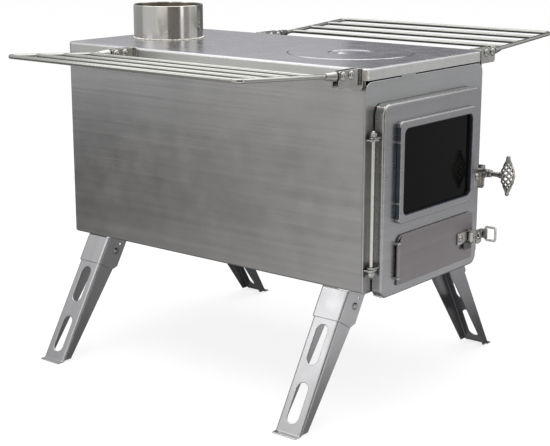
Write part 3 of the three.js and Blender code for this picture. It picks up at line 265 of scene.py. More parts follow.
# Near-black steel for a sleeve inside the flue collar: painted shade down its bore.
bore_shade_steel = steel("Heat tinted steel", (0.09, 0.08, 0.06), 0.3, UPRIGHT, 0.1, 0.4)
# Dark blue steel for the ring round the pane and the strip in the frame's open side: painted shade.
painted_shade_steel = steel("Blued steel", (0.1, 0.125, 0.16), 0.35, ACROSS, 0.2, 0.2, 0.3)
# The right legs and sleeves take a darker copy of the same pale steel: painted shade.
leg_steels = {
    "left": steel("Leg steel, left", (0.47, 0.47, 0.48), 0.3, LEG, 0.14, 0.08, 1.0, (0, -SPLAY, 0)),
    "right": steel("Leg steel, right", (0.29, 0.29, 0.3), 0.3, LEG, 0.14, 0.08, 1.0, (0, SPLAY, 0)),
}
print("steels made:", len(bpy.data.materials))

# %% [markdown]
# ## The glass
#
# The pane is dark ceramic glass, almost black, with a faint warm bloom that the fire has left on it. A black
# glossy surface with a slow change of tone is enough: nothing is seen through it.

# %% Stove glass
glass, tree = new_material("Stove glass")
pane_shader = tree.nodes["Principled BSDF"]
place = add(tree, "ShaderNodeTexCoord").outputs["Object"]
marks = group(tree, marks_tree, Vector=place, Size=0.06)
bloom = colour_mix(tree, marks["Cloud"], (0.001, 0.001, 0.001), (0.006, 0.005, 0.004))
tree.links.new(bloom, pane_shader.inputs["Base Color"])
pane_gloss = maths(tree, "MULTIPLY_ADD", marks["Smear"], 0.08, 0.05)
tree.links.new(pane_gloss, pane_shader.inputs["Roughness"])
pane_shader.inputs["Specular IOR Level"].default_value = 0.06

# %% [markdown]
# ## Meshes from outlines
#
# Sheet metal is cut to an outline and then folded or pressed, so most pieces start as an outline with rounded
# corners. A slab is that outline with a thickness, a turned piece is a profile spun about an axis, and a tray
# is a pressed sheet whose edge rolls over into a skirt. Each helper gives back a plain mesh in place.


# %% Helper: outlines
def outline(x0, x1, y0, y1, radius, steps=8):
    """Points round a rectangle with rounded corners: one radius, or four from the lower left."""
    a, b, c, d = radius if isinstance(radius, tuple) else (radius,) * 4
    corners = (
        (x0 + a, y0 + a, a, pi),
        (x1 - b, y0 + b, b, 1.5 * pi),
        (x1 - c, y1 - c, c, 0.0),
        (x0 + d, y1 - d, d, 0.5 * pi),
    )
    points = []
    for x, y, r, start in corners:
        count = steps if r else 0
        for k in range(count + 1):
            angle = start + 0.5 * pi * k / max(count, 1)
            points.append((x + r * cos(angle), y + r * sin(angle)))
    return points


def inset(low, high, by, radius, steps=8):
    """The outline of a box seen from the front, drawn in by the same amount on each side."""
    return outline(low.x + by, high.x - by, low.z + by, high.z - by, radius, steps)


def circle(x, y, radius, steps=64):
    angles = [2 * pi * k / steps for k in range(steps)]
    return [(x + radius * cos(angle), y + radius * sin(angle)) for angle in angles]


# How an outline drawn in x and y is turned to lie across each axis.
LIE = {
    "z": Matrix.Identity(4),
    "y": Matrix(((1, 0, 0, 0), (0, 0, 1, 0), (0, 1, 0, 0), (0, 0, 0, 1))),
    "x": Matrix(((0, 0, 1, 0), (1, 0, 0, 0), (0, 1, 0, 0), (0, 0, 0, 1))),
}


def to_mesh(made, name="part"):
    mesh = bpy.data.meshes.new(name)
    made.to_mesh(mesh)
    made.free()
    return mesh


def ring_edges(made, ring, height):
    verts = [made.verts.new((x, y, height)) for x, y in ring]
    return [made.edges.new((verts[i - 1], verts[i])) for i in range(len(verts))]


def slab(rings, low, high, axis="z"):
    """A flat piece: its outer ring and any holes, from low to high along the axis."""
    made = bmesh.new()
    edges = []
    for ring in rings:
        edges += ring_edges(made, ring, low)
    bmesh.ops.triangle_fill(made, use_beauty=True, use_dissolve=True, edges=edges)
    top = bmesh.ops.extrude_face_region(made, geom=list(made.faces))["geom"]
    for vert in top:
        if isinstance(vert, bmesh.types.BMVert):
            vert.co.z = high
    made.transform(LIE[axis])
    bmesh.ops.recalc_face_normals(made, faces=made.faces)
    return to_mesh(made)


def turned(profile, axis="z", at=(0, 0), steps=64):
    """A profile of (radius, height) spun about an axis that passes through the point `at`."""
    made = bmesh.new()
    closed = profile[0] == profile[-1]
    rings = []
    for radius, height in profile[:-1] if closed else profile:
        spots = circle(*at, radius, steps) if radius else [at]
        rings.append([made.verts.new((x, y, height)) for x, y in spots])
    for i in range(len(rings) if closed else len(rings) - 1):
        a, b = rings[i], rings[(i + 1) % len(rings)]
        for k in range(steps):
            quad = [a[k % len(a)], a[(k + 1) % steps % len(a)], b[(k + 1) % steps % len(b)], b[k % len(b)]]
            made.faces.new(list(dict.fromkeys(quad)))
    made.transform(LIE[axis])
    bmesh.ops.recalc_face_normals(made, faces=made.faces)
    return to_mesh(made)


def peg(radius, low, high, axis="z", at=(0, 0), steps=64):
    """A plain solid pin from low to high."""
    return turned([(0, low), (radius, low), (radius, high), (0, high)], axis, at, steps)


# %% [markdown]
# A pressed tray starts as one skin: rings that follow the rolled edge up to the flat face, which is filled
# round its holes. Blender's Solidify then gives the skin its sheet thickness, inwards, so that the outside
# keeps its size.


# %% Helper: a pressed tray
def taken_off(holder):
    """The plain mesh that a holder's modifiers make of it. The holder itself goes."""
    ready = holder.evaluated_get(bpy.context.evaluated_depsgraph_get())
    result = bpy.data.meshes.new_from_object(ready)
    bpy.data.objects.remove(holder)
    return result


def thickened(mesh, **options):
    holder = new_object("holder", mesh)
    modifier = holder.modifiers.new("thickness", "SOLIDIFY")
    for option, value in options.items():
        setattr(modifier, option, value)
    return taken_off(holder)


def tray(x, y, depth, sheet, corner, edge, holes=(), keep=None, steps=7):
    """A tray that faces +z with its face at 0. x and y are its ends, and keep says which faces stay."""
    made = bmesh.new()
    levels = [(0.0, -depth)]
    for k in range(steps + 1):
        angle = 0.5 * pi * k / steps
        levels.append((edge * (1 - cos(angle)), -edge * (1 - sin(angle))))
    rings = []
    for inwards, z in levels:
        radius = max(corner - inwards, 0.0004)
        ring = outline(x[0] + inwards, x[1] - inwards, y[0] + inwards, y[1] - inwards, radius)
        rings.append([made.verts.new((px, py, z)) for px, py in ring])
    for low, high in zip(rings, rings[1:]):
        for k in range(len(low)):
            made.faces.new((low[k - 1], low[k], high[k], high[k - 1]))
    top = [made.edges.get((rings[-1][k - 1], rings[-1][k])) for k in range(len(rings[-1]))]
    for hole in holes:
        top += ring_edges(made, hole, 0.0)
    bmesh.ops.triangle_fill(made, use_beauty=True, use_dissolve=False, edges=top)
    bmesh.ops.recalc_face_normals(made, faces=made.faces)
    if keep:
        gone = [face for face in made.faces if not keep(face.calc_center_median())]
        bmesh.ops.delete(made, geom=gone, context="FACES")
    if sum(face.normal.z for face in made.faces) < 0:
        bmesh.ops.reverse_faces(made, faces=made.faces)
    return thickened(to_mesh(made), thickness=sheet, offset=-1.0, use_even_offset=True)


# %% [markdown]
# Every piece is finished the same way: smooth faces, small rounded edges, the body it rides on and the nodes
# that it stands in for. Most steels belong to one slot. A few small brackets are already the right shape in
# the frame, apart from their razor-sharp edges. A copy of such a node has its triangles merged back into flat
# faces, and then gets the same rounding as the pieces that are built here.

# %% Helper: a finished piece
SHEETS = (side_steel, top_steel, front_steel, door_steel, flap_steel, painted_shade_steel)
SLOT_OF = {sheet.name: "body_steel" for sheet in SHEETS}
SLOT_OF.update({material.name: "leg_steel" for material in leg_steels.values()})
SLOT_OF.update({inner_steel.name: "inner_steel", glass.name: "door_glass"})
FINE_EDGE = 0.25 * MM


def joined(*meshes):
    made = bmesh.new()
    for mesh in meshes:
        made.from_mesh(mesh)
    return to_mesh(made)


def finished(name, mesh, material, body, nodes=(), round_edge=0.3 * MM, crease=38, slot=None):
    """Makes the mesh a piece: smooth, with small rounded edges, riding on its body in place of its nodes."""
    mesh.name = name
    mesh.materials.clear()
    mesh.materials.append(material)
    mesh.shade_smooth()
    mesh.set_sharp_from_angle(angle=radians(crease))
    piece = new_object(name, mesh)
    if round_edge:
        bevel = piece.modifiers.new("rounded edges", "BEVEL")
        bevel.width = round_edge
        bevel.segments = 2
        bevel.limit_method = "ANGLE"
        bevel.angle_limit = radians(crease)
        bevel.harden_normals = True
        bevel.use_clamp_overlap = False
        even = piece.modifiers.new("flat faces", "WEIGHTED_NORMAL")
        even.keep_sharp = True
        even.weight = 100
    slot = slot or SLOT_OF.get(material.name, "bright_steel")
    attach(piece, body)
    if nodes:
        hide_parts(*nodes)
    return piece


def copied(name, node, material, body="stove_body", round_edge=0.3 * MM, **more):
    """A node's own mesh as a piece: its loose triangles welded and its flat faces made whole."""
    made = bmesh.new()
    made.from_mesh(frame["nodes"][node].data)
    bmesh.ops.remove_doubles(made, verts=made.verts, dist=0.00001)
    bmesh.ops.dissolve_limit(made, angle_limit=radians(0.5), verts=made.verts, edges=made.edges)
    return finished(name, to_mesh(made), material, body, [node], round_edge, **more)


def middle(node):
    low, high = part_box(node)
    return (low + high) / 2


# %% [markdown]
# ## Growing what repeats
#
# Round bars, shelf bars, rivet heads, weld beads and the twisted wires of the door's grip all repeat or
# follow a path. Geometry Nodes make each of them from a few named sizes. A tree is put on a holder as a
# modifier, its inputs are set by their identifiers, and the result is taken off as a plain mesh.


# %% Helper: run a geometry tree
def path_mesh(*paths, closed=False):
    """Edges along each list of points, for a tree to follow."""
    made = bmesh.new()
    for points in paths:
        verts = [made.verts.new(point) for point in points]
        for a, b in zip(verts, verts[1:]):
            made.edges.new((a, b))
        if closed:
            made.edges.new((verts[-1], verts[0]))
    return to_mesh(made)


def grown(tree, source=None, **sizes):
    holder = new_object("holder", source or bpy.data.meshes.new("empty"))
    modifier = holder.modifiers.new("tree", "NODES")
    modifier.node_group = tree
    for item in tree.interface.items_tree:
        key = item.name.lower().replace(" ", "_")
        if item.in_out == "INPUT" and key in sizes:
            modifier[item.identifier] = sizes[key]
    return taken_off(holder)


def geometry_tree(name, **inputs):
    """A tree whose inputs are the named sizes and a material."""
    sockets = {key.capitalize(): value for key, value in inputs.items()}
    return new_tree(name, {**sockets, "Material": "Material"}, {"Geometry": "Geometry"}, "GeometryNodeTree")


def close_tree(tree, geometry, given, result):
    """The end of every tree: smooth faces, real geometry and a material."""
    shaded = add(tree, "GeometryNodeSetShadeSmooth", {"Geometry": geometry, "Shade Smooth": True})
    real = add(tree, "GeometryNodeRealizeInstances", {"Geometry": shaded})
    coated = add(tree, "GeometryNodeSetMaterial", {"Geometry": real, "Material": given["Material"]})
    tree.links.new(coated.outputs[0], result["Geometry"])


def swept(tree, curve, sides, radius):
    """A round wire along a curve, with closed ends."""
    section = add(tree, "GeometryNodeCurvePrimitiveCircle", {"Resolution": sides, "Radius": radius})
    wire = {"Curve": curve, "Profile Curve": section, "Fill Caps": True}
    return add(tree, "GeometryNodeCurveToMesh", wire)


# %% Tree: a round bar bent along a path
bar_tree, given, result = geometry_tree("Round bar", path="Geometry", radius=0.0025, bend=0.009, sides=16)
line = add(bar_tree, "GeometryNodeMeshToCurve", {"Mesh": given["Path"]})
bends = {"Curve": line, "Radius": given["Bend"], "Count": 8, "Limit Radius": True}
bent = add(bar_tree, "GeometryNodeFilletCurve", bends, mode="POLY")
close_tree(bar_tree, swept(bar_tree, bent, given["Sides"], given["Radius"]), given, result)

# %% Tree: a row of bars
row_tree, given, result = geometry_tree(
    "Row of bars", count=3, start=(0.0, 0.0, 0.0), step=(0.041, 0.0, 0.0), length=0.328, radius=0.0025
)
node = partial(add, row_tree)
row = {"Count": given["Count"], "Start Location": given["Start"], "Offset": given["Step"]}
places = node("GeometryNodeMeshLine", row)
straight = {"Vertices": 16, "Radius": given["Radius"], "Depth": given["Length"]}
upright = node("GeometryNodeMeshCylinder", straight)
laid = node("GeometryNodeTransform", {"Geometry": upright, "Rotation": (pi / 2, 0, 0)})
bars = node("GeometryNodeInstanceOnPoints", {"Points": places, "Instance": laid})
close_tree(row_tree, bars, given, result)

# %% Tree: rivet heads on points
rivet_tree, given, result = geometry_tree("Rivet heads", points="Geometry", radius=0.0042, height=0.0024)
node = partial(add, rivet_tree)
flattened = {"X": given["Radius"], "Y": given["Height"], "Z": given["Radius"]}
flat = node("ShaderNodeCombineXYZ", flattened)
ball = node("GeometryNodeMeshUVSphere", {"Segments": 24, "Rings": 12, "Radius": 1.0})
head = node("GeometryNodeTransform", {"Geometry": ball, "Rotation": (pi / 2, 0, 0)})
pressed_flat = node("GeometryNodeTransform", {"Geometry": head, "Scale": flat})
on_points = {"Points": given["Points"], "Instance": pressed_flat}
close_tree(rivet_tree, node("GeometryNodeInstanceOnPoints", on_points), given, result)

# %% Tree: a run of weld beads along a path
weld_tree, given, result = geometry_tree(
    "Weld beads", path="Geometry", spacing=0.0016, radius=0.0013, uneven=0.25, seed=4
)
node, sums = partial(add, weld_tree), partial(maths, weld_tree)
seam = node("GeometryNodeMeshToCurve", {"Mesh": given["Path"]})
dots = node("GeometryNodeCurveToPoints", {"Curve": seam, "Length": given["Spacing"]}, mode="LENGTH")
smallest = sums("SUBTRACT", 1.0, given["Uneven"])
largest = sums("ADD", 1.0, given["Uneven"])
spread = {"Min": smallest, "Max": largest, "Seed": given["Seed"]}
bead_size = node("FunctionNodeRandomValue", spread).outputs[1]
bead = node("GeometryNodeMeshUVSphere", {"Segments": 10, "Rings": 6, "Radius": given["Radius"]})
on_dots = {"Points": dots, "Instance": bead, "Scale": bead_size}
close_tree(weld_tree, node("GeometryNodeInstanceOnPoints", on_dots), given, result)

# %% Tree: a cage of twisted wires
cage_tree, given, result = geometry_tree(
    "Twisted cage", wires=6, turns=0.75, length=0.043, belly=0.0071, neck=0.0012, swell=0.8, wire=0.0012
)
node, sums = partial(add, cage_tree), partial(maths, cage_tree)
half_length = sums("MULTIPLY", given["Length"], 0.5)
low_end = node("ShaderNodeCombineXYZ", {"Z": sums("MULTIPLY", half_length, -1.0)})
high_end = node("ShaderNodeCombineXYZ", {"Z": half_length})
axis_line = node("GeometryNodeCurvePrimitiveLine", {"Start": low_end, "End": high_end})
stepped = node("GeometryNodeResampleCurve", {"Curve": axis_line, "Count": 48})
along = node("GeometryNodeSplineParameter").outputs["Factor"]
arch = sums("SINE", sums("MULTIPLY", along, pi))
bulge = sums("POWER", sums("MAXIMUM", arch, 0.0), given["Swell"])
out = sums("MULTIPLY_ADD", bulge, given["Belly"], given["Neck"])
swing = sums("MULTIPLY", sums("MULTIPLY", along, given["Turns"]), 2 * pi)
along_axis = node("ShaderNodeSeparateXYZ", {0: node("GeometryNodeInputPosition")})
on_helix = {
    "X": sums("MULTIPLY", out, sums("COSINE", swing)),
    "Y": sums("MULTIPLY", out, sums("SINE", swing)),
    "Z": along_axis.outputs["Z"],
}
moved = {"Geometry": stepped, "Position": node("ShaderNodeCombineXYZ", on_helix)}
helix = node("GeometryNodeSetPosition", moved)
starts = node("GeometryNodeMeshLine", {"Count": given["Wires"], "Offset": (0.0, 0.0, 0.0)})
share = sums("DIVIDE", 2 * pi, given["Wires"])
turn_by = sums("MULTIPLY", node("GeometryNodeInputIndex").outputs[0], share)
facing = node("ShaderNodeCombineXYZ", {"Z": turn_by})
as_turn = node("FunctionNodeEulerToRotation", {0: facing})
round_axis = {"Points": starts, "Instance": helix, "Rotation": as_turn}
ring_of_wires = node("GeometryNodeInstanceOnPoints", round_axis)
loose = node("GeometryNodeRealizeInstances", {"Geometry": ring_of_wires})
close_tree(cage_tree, swept(cage_tree, loose, 12, given["Wire"]), given, result)
print("geometry trees:", len([g for g in bpy.data.node_groups if g.bl_idname == "GeometryNodeTree"]))


# %% Helper: rivets and welds
def rivet_heads(spots, radius, height, material=rod_steel):
    alone = [[spot] for spot in spots]
    return grown(rivet_tree, path_mesh(*alone), radius=radius, height=height, material=material)


def rivet_row(name, nodes, heads, shank, reach, material):
    """Rivets on the stove's body: their heads, and a shank through the middle of each node."""
    shanks = []
    for node in nodes:
        at = middle(node)
        shanks.append(peg(shank, at.y - reach, at.y + reach, "y", (at.x, at.z), 20))
    finished(name, joined(heads, *shanks), material, "stove_body", nodes, 0, 60)


def grown_piece(name, mesh, material, body, **more):
    """Rivet heads or beads as a piece of their own: round all over, with no edge to ease."""
    finished(name, mesh, material, body, round_edge=0, crease=180, **more)


# %% [markdown]
# ## The body
#
# The floor and the two sides are one folded sheet, the rear is let in between them, and the front is a flat
# frame with rounded upper corners. The folded sheet and the rear come from the frame with their edges eased.
# The front frame is cut afresh with smooth corners and its door opening.

# %% Body sheets
copied("body_wrap", "body_shell", side_steel)
copied("back_sheet", "rear_panel", side_steel)
copied("flame_baffle", "baffle_plate", inner_steel)
copied("fire_grate", "log_grate", inner_steel)

low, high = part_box("front_frame")
door_low, door_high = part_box("door_panel")
rod_at = middle("hinge_rod")
DOOR_LEFT = rod_at.x + 8.3 * MM
DOOR_RIGHT = door_high.x
SIDE_LAP = 13.5 * MM
END_LAP = 17 * MM
front_ring = inset(low, high, 0, (4 * MM, 4 * MM, 12 * MM, 12 * MM), 12)
mouth_sides = (DOOR_LEFT + SIDE_LAP, DOOR_RIGHT - SIDE_LAP)
mouth = outline(*mouth_sides, door_low.z + END_LAP, door_high.z - END_LAP, 8 * MM)
front = slab([front_ring, mouth], low.y, high.y, "y")
finished("front_sheet", front, front_steel, "stove_body", ["front_frame"], 0.5 * MM)
print("front sheet:", round((high.x - low.x) / MM), "x", round((high.z - low.z) / MM), "mm")

# %% [markdown]
# ## The top
#
# The top is pressed from one sheet: its edge rolls over on a 3 mm radius into a skirt that hides the joint
# with the body. Its two holes take the flue collar and the cook lid. The outer lid is a ring that rests on a
# seat below, and the centre lid rests in the ring. A small hole and a pressed dish let a lifter hook the
# centre lid.

# %% Top plate
low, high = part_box("top_plate")
ring_low, ring_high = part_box("lid_ring")
collar_low, collar_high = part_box("flue_collar")
SURFACE = high.z
GAP = 0.3 * MM
LID_GAP = 0.9 * MM
lid_at = (ring_low + ring_high) / 2
lid_radius = (ring_high.x - ring_low.x) / 2
collar_at = (collar_low + collar_high) / 2
collar_radius = (collar_high.x - collar_low.x) / 2
holes = [
    circle(lid_at.x, lid_at.y, lid_radius + LID_GAP, 120),
    circle(collar_at.x, collar_at.y, collar_radius + GAP, 96),
]
depth = high.z - low.z
pan = tray((low.x, high.x), (low.y, high.y), depth, sheet=2 * MM, corner=10 * MM, edge=3 * MM, holes=holes)
pan.transform(Matrix.Translation((0, 0, high.z)))
top = finished("top_pan", pan, top_steel, "stove_body", ["top_plate"])
# Upright faces of the skirt take that lighter copy: painted light, as they are the same sheet as the top.
top.data.materials.append(skirt_painted_light_steel)
for face in top.data.polygons:
    if abs(face.normal.z) < 0.7 and face.center.z < SURFACE - MM:
        face.material_index = 1
TACK = (-54 * MM, -26 * MM)
tack_ring = outline(*TACK, low.z - 2 * MM, low.z + 1.2 * MM, 0.8 * MM)
tack = slab([tack_ring], low.y - 0.05 * MM, low.y + 0.5 * MM, "y")
finished("skirt_tack", tack, front_steel, "stove_body")

# %% Flue collar, a sleeve of painted shade in its bore, and its weld
wall = 1.2 * MM
lip = 0.4 * MM
bore_radius = collar_radius - wall
collar = turned(
    [
        (collar_radius, collar_low.z),
        (collar_radius, collar_high.z - lip),
        (collar_radius - lip, collar_high.z),
        (bore_radius + lip / 2, collar_high.z),
        (bore_radius, collar_high.z - lip),
        (bore_radius, collar_low.z),
        (collar_radius, collar_low.z),
    ],
    at=collar_at.xy,
    steps=128,
)
finished("flue_ring", collar, collar_steel, "stove_body", ["flue_collar"], 0)
# A near-black sleeve just inside the bore: painted shade, where the inside of the collar lies in shadow.
inside = bore_radius - 0.02 * MM
SHADE_SLEEVE_THICK = 0.3 * MM
shade_sleeve = turned(
    [
        (inside, collar_low.z + 0.5 * MM),
        (inside, collar_high.z - 0.8 * MM),
        (inside - SHADE_SLEEVE_THICK, collar_high.z - 1.2 * MM),
        (inside - SHADE_SLEEVE_THICK, collar_low.z + 0.5 * MM),
        (inside, collar_low.z + 0.5 * MM),
    ],
    at=collar_at.xy,
    steps=128,
)
finished("flue_lining", shade_sleeve, bore_shade_steel, "stove_body", round_edge=0)
foot = [(x, y, SURFACE + 0.3 * MM) for x, y in circle(*collar_at.xy, collar_radius + 0.4 * MM, 160)]
seam = path_mesh(foot, closed=True)
beads = grown(weld_tree, seam, spacing=2.1 * MM, radius=1.3 * MM, uneven=0.35, seed=4, material=weld_steel)
grown_piece("flue_weld", beads, weld_steel, "stove_body")

# %% Cook lids
copied("lid_seat", "lid_seat_ring", inner_steel, round_edge=0, crease=45)
centre_low, centre_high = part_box("lid_centre")
inner_radius = (centre_high.x - centre_low.x) / 2
LEDGE = 5 * MM
STEP = 1.2 * MM
PROUD = 0.35 * MM
SOFT = 0.5 * MM
bottom = ring_low.z
lid_top = SURFACE + PROUD
recess = inner_radius + GAP
ring = turned(
    [
        (inner_radius - LEDGE, bottom),
        (lid_radius, bottom),
        (lid_radius, lid_top - SOFT),
        (lid_radius - SOFT, lid_top),
        (recess + SOFT, lid_top),
        (recess, lid_top - SOFT),
        (recess, bottom + STEP),
        (inner_radius - LEDGE, bottom + STEP),
        (inner_radius - LEDGE, bottom),
    ],
    at=lid_at.xy,
    steps=120,
)
finished("outer_lid", ring, top_steel, "cook_ring", ["lid_ring"], 0)


# %% [markdown]
# The centre lid is a disc with a lifter hole and a dish pressed beside it. The disc is a fine grid cut to a
# circle, so that the dish can be pushed down by a smooth formula before the sheet gets its thickness.


# %% Centre lid
def dished_disc(at, radius, hole, hole_radius, dish, reach, depth, rings=26, spokes=96):
    made = bmesh.new()
    middle_vert = made.verts.new((*at, 0.0))
    last = None
    for i in range(1, rings + 1):
        row = [made.verts.new((x, y, 0.0)) for x, y in circle(*at, radius * i / rings, spokes)]
        for k in range(spokes):
            if last:
                made.faces.new((last[k - 1], row[k - 1], row[k], last[k]))
            else:
                made.faces.new((middle_vert, row[k - 1], row[k]))
        last = row
    for vert in made.verts:
        away = (vert.co.xy - Vector(dish)).length / reach
        if away < 1:
            vert.co.z -= depth * (1 - away * away) ** 2
    gone = [face for face in made.faces if (face.calc_center_median().xy - Vector(hole)).length < hole_radius]
    bmesh.ops.delete(made, geom=gone, context="FACES")
    return to_mesh(made)


hole_angle = radians(121)
hole_out = 20 * MM
hole = (lid_at.x + hole_out * cos(hole_angle), lid_at.y + hole_out * sin(hole_angle))
dish = (hole[0] + 2.5 * MM, hole[1] - 9 * MM)
disc = dished_disc(lid_at.xy, inner_radius, hole, 3 * MM, dish, reach=8 * MM, depth=2.6 * MM)
disc.transform(Matrix.Translation((0, 0, lid_top - 0.8 * MM)))
disc = thickened(disc, thickness=1 * MM, offset=-1.0)
finished("inner_lid", disc, top_steel, "cook_lid", ["lid_centre"], FINE_EDGE, 50)

# %% [markdown]
# ## The hinge
#
# Two lugs on the frame and two on the door share one long rod. A nut closes the rod at the top and a domed
# cap nut at the bottom. Each lug has a rounded nose, so it is drawn as an outline and given its thickness.

# %% Hinge lugs on the frame
ROD_AT = (rod_at.x, rod_at.y)
bore = circle(*ROD_AT, 2.3 * MM, 24)
for name in ("frame_lug_upper", "frame_lug_lower"):
    low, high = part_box(name)
    nose = outline(low.x, high.x, low.y, high.y, (4 * MM, 4 * MM, 0, 0))
    lug = slab([nose, bore], low.z, high.z)
    finished("hinge_" + name, lug, fitting_steel, "stove_body", [name], 0.35 * MM)

# %% Hinge rod and nuts
low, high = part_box("hinge_rod")
ROD_RADIUS = 2 * MM
tip = 0.7 * MM
rod_profile = [
    (0, low.z),
    (ROD_RADIUS, low.z),
    (ROD_RADIUS, high.z - tip),
    (ROD_RADIUS - tip, high.z),
    (0, high.z),
]
finished("hinge_pin", turned(rod_profile, "z", ROD_AT, 32), hinge_rod_steel, "stove_body", ["hinge_rod"], 0)


def hexagon(flats):
    return circle(*ROD_AT, flats / 3**0.5, 6)


WASHER = circle(*ROD_AT, 4.4 * MM, 40)
low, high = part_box("hinge_top_nut")
washer_top = low.z + 0.9 * MM
nut = joined(
    slab([hexagon(7.2 * MM), bore], washer_top, high.z),
    slab([WASHER, bore], low.z, washer_top),
)
finished("hinge_nut", nut, fitting_steel, "stove_body", ["hinge_top_nut"], 0.5 * MM)

low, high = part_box("hinge_cap_nut")
DOME_RADIUS = 3.9 * MM
hex_low = high.z - 4.5 * MM
dome = [(0, low.z)]
for k in range(1, 9):
    angle = 0.5 * pi * k / 8
    dome.append((DOME_RADIUS * sin(angle), hex_low - (hex_low - low.z) * cos(angle) ** 1.4))
dome += [(DOME_RADIUS, hex_low + 0.4 * MM), (0, hex_low + 0.4 * MM)]
cap = joined(
    turned(dome, "z", ROD_AT, 40),
    slab([hexagon(7.6 * MM)], hex_low, high.z - 1.1 * MM),
    slab([WASHER], high.z - 1.0 * MM, high.z),
)
finished("hinge_cap", cap, fitting_steel, "stove_body", ["hinge_cap_nut"], 0.4 * MM)
copied("catch_hook", "latch_catch", fitting_steel)

# %% [markdown]
# ## The door
#
# The door is a pressed tray with a window hole and an air inlet. Its hinge lugs, the two lugs of the flap's
# pin and the keeper stud are welded to it, so they belong to the same piece. A tray is made lying flat and
# then stood up to face the front.

# %% Door tray
STAND = Matrix.Rotation(pi / 2, 4, "X")
JOINTS = {joint["name"]: joint for joint in frame["joints"]}
bezel_low, bezel_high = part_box("glass_bezel")
flap_low, flap_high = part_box("air_flap")
DOOR_FACE = bezel_high.y + GAP
DOOR_GAP = 1 * MM
DOOR_LAP = 6 * MM
PANE_LIP = 8 * MM
INLET_IN = 25 * MM
INLET_HALF = 13 * MM
window = inset(bezel_low, bezel_high, PANE_LIP + DOOR_LAP, 6 * MM)
pin = JOINTS["flap_swing"]["pos_m"]
FLAP_LEFT = pin[0]
flap_mid = (flap_low.z + flap_high.z) / 2
inlet_sides = (FLAP_LEFT + INLET_IN, flap_high.x - INLET_IN)
inlet = outline(*inlet_sides, flap_mid - INLET_HALF, flap_mid + INLET_HALF, 6 * MM)
depth = door_high.y - DOOR_GAP - DOOR_FACE
door_size = ((DOOR_LEFT, DOOR_RIGHT), (door_low.z, door_high.z), depth)
pan = tray(*door_size, sheet=1.5 * MM, corner=12 * MM, edge=3 * MM, holes=[window, inlet])
pan.transform(Matrix.Translation((0, DOOR_FACE, 0)) @ STAND)


# %% Door lugs, pin lugs and keeper
def door_lug(z):
    x, y = ROD_AT
    nose = [(x + 5 * MM * cos(pi * (0.5 + k / 16)), y + 5 * MM * sin(pi * (0.5 + k / 16))) for k in range(17)]
    reach = DOOR_LEFT + 0.7 * MM
    ring = nose + [(reach, y - 5 * MM), (reach, y + 4.4 * MM), (x, y + 4.4 * MM)]
    return slab([ring, bore], z - MM, z + MM)


PIN_LUG = 2.8 * MM
WELDED_IN = DOOR_FACE + 0.7 * MM
pin_corners = (2.7 * MM, 2.7 * MM, 0, 0)
lug_ring = outline(pin[0] - PIN_LUG, pin[0] + PIN_LUG, pin[1] - PIN_LUG, WELDED_IN, pin_corners)
pin_hole = circle(pin[0], pin[1], 1.8 * MM, 24)
pin_lugs = [slab([lug_ring, pin_hole], flap_mid + z * MM, flap_mid + (z + 3) * MM) for z in (18.3, -21.3)]
KEEPER = (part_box("flap_lever")[1].x - 6.4 * MM, middle("flap_latch_base").z - 2 * MM)
stud_front = door_low.y
stud_profile = [
    (0, stud_front),
    (1.3 * MM, stud_front + 0.15 * MM),
    (2.2 * MM, stud_front + 1.0 * MM),
    (2.2 * MM, WELDED_IN),
    (0, WELDED_IN),
]
stud = turned(stud_profile, "y", KEEPER, 32)
door_lugs = [door_lug(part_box(name)[1].z + 1.3 * MM) for name in ("frame_lug_upper", "frame_lug_lower")]
finished("door_pan", joined(pan, *door_lugs, *pin_lugs, stud), door_steel, "door", ["door_panel"])
corner_in = 3.3 * MM
seam_x = DOOR_LEFT + corner_in
seam_ends = (door_high.z - corner_in, door_low.z + corner_in)
seams = [[(seam_x, door_high.y - 2 * MM, z), (seam_x, DOOR_FACE + 3 * MM, z)] for z in seam_ends]
bead_sizes = {"spacing": 2 * MM, "radius": 1.2 * MM, "uneven": 0.35, "seed": 7}
tacks = grown(weld_tree, path_mesh(*seams), material=weld_steel, **bead_sizes)
grown_piece("door_corner_welds", tacks, weld_steel, "door", slot="body_steel")
print("door face at y", round(DOOR_FACE, 4))

# %% [markdown]
# ## The window
#
# A shallow frame clamps the pane to the door. Its left side is open between the corners, where two small pins
# stand, so that the pane can slide out for cleaning.

# %% Window frame and pane
BEZEL_CORNER = 6 * MM
OPEN_EDGE = 2.2 * MM
PIN_SPREAD = 34 * MM
PIN_RADIUS = 1.4 * MM
pane_ring = inset(bezel_low, bezel_high, PANE_LIP, 8 * MM, 12)


def stays(centre):
    between = bezel_low.z + BEZEL_CORNER < centre.y < bezel_high.z - BEZEL_CORNER
    return not (between and centre.x < bezel_low.x + OPEN_EDGE and centre.z < -0.4 * MM)


bezel_size = ((bezel_low.x, bezel_high.x), (bezel_low.z, bezel_high.z), bezel_high.y - bezel_low.y)
bezel = tray(*bezel_size, sheet=1.2 * MM, corner=BEZEL_CORNER, edge=2 * MM, holes=[pane_ring], keep=stays)
bezel.transform(Matrix.Translation((0, bezel_low.y, 0)) @ STAND)
bezel_mid = (bezel_low.z + bezel_high.z) / 2
pins = []
for side in (-1, 1):
    spot = (bezel_low.x + PIN_RADIUS, bezel_mid + side * PIN_SPREAD)
    pins.append(peg(PIN_RADIUS, bezel_low.y + 0.6 * MM, bezel_high.y, "y", spot, 24))
finished("window_frame", joined(bezel, *pins), door_steel, "door", ["glass_bezel"])

low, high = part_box("door_glass")
PANE_THICK = 1.2 * MM
pane_front = high.y - PANE_THICK
pane = slab([inset(low, high, 0, 6 * MM)], pane_front, high.y, "y")
finished("window_pane", pane, glass, "door", ["door_glass"])
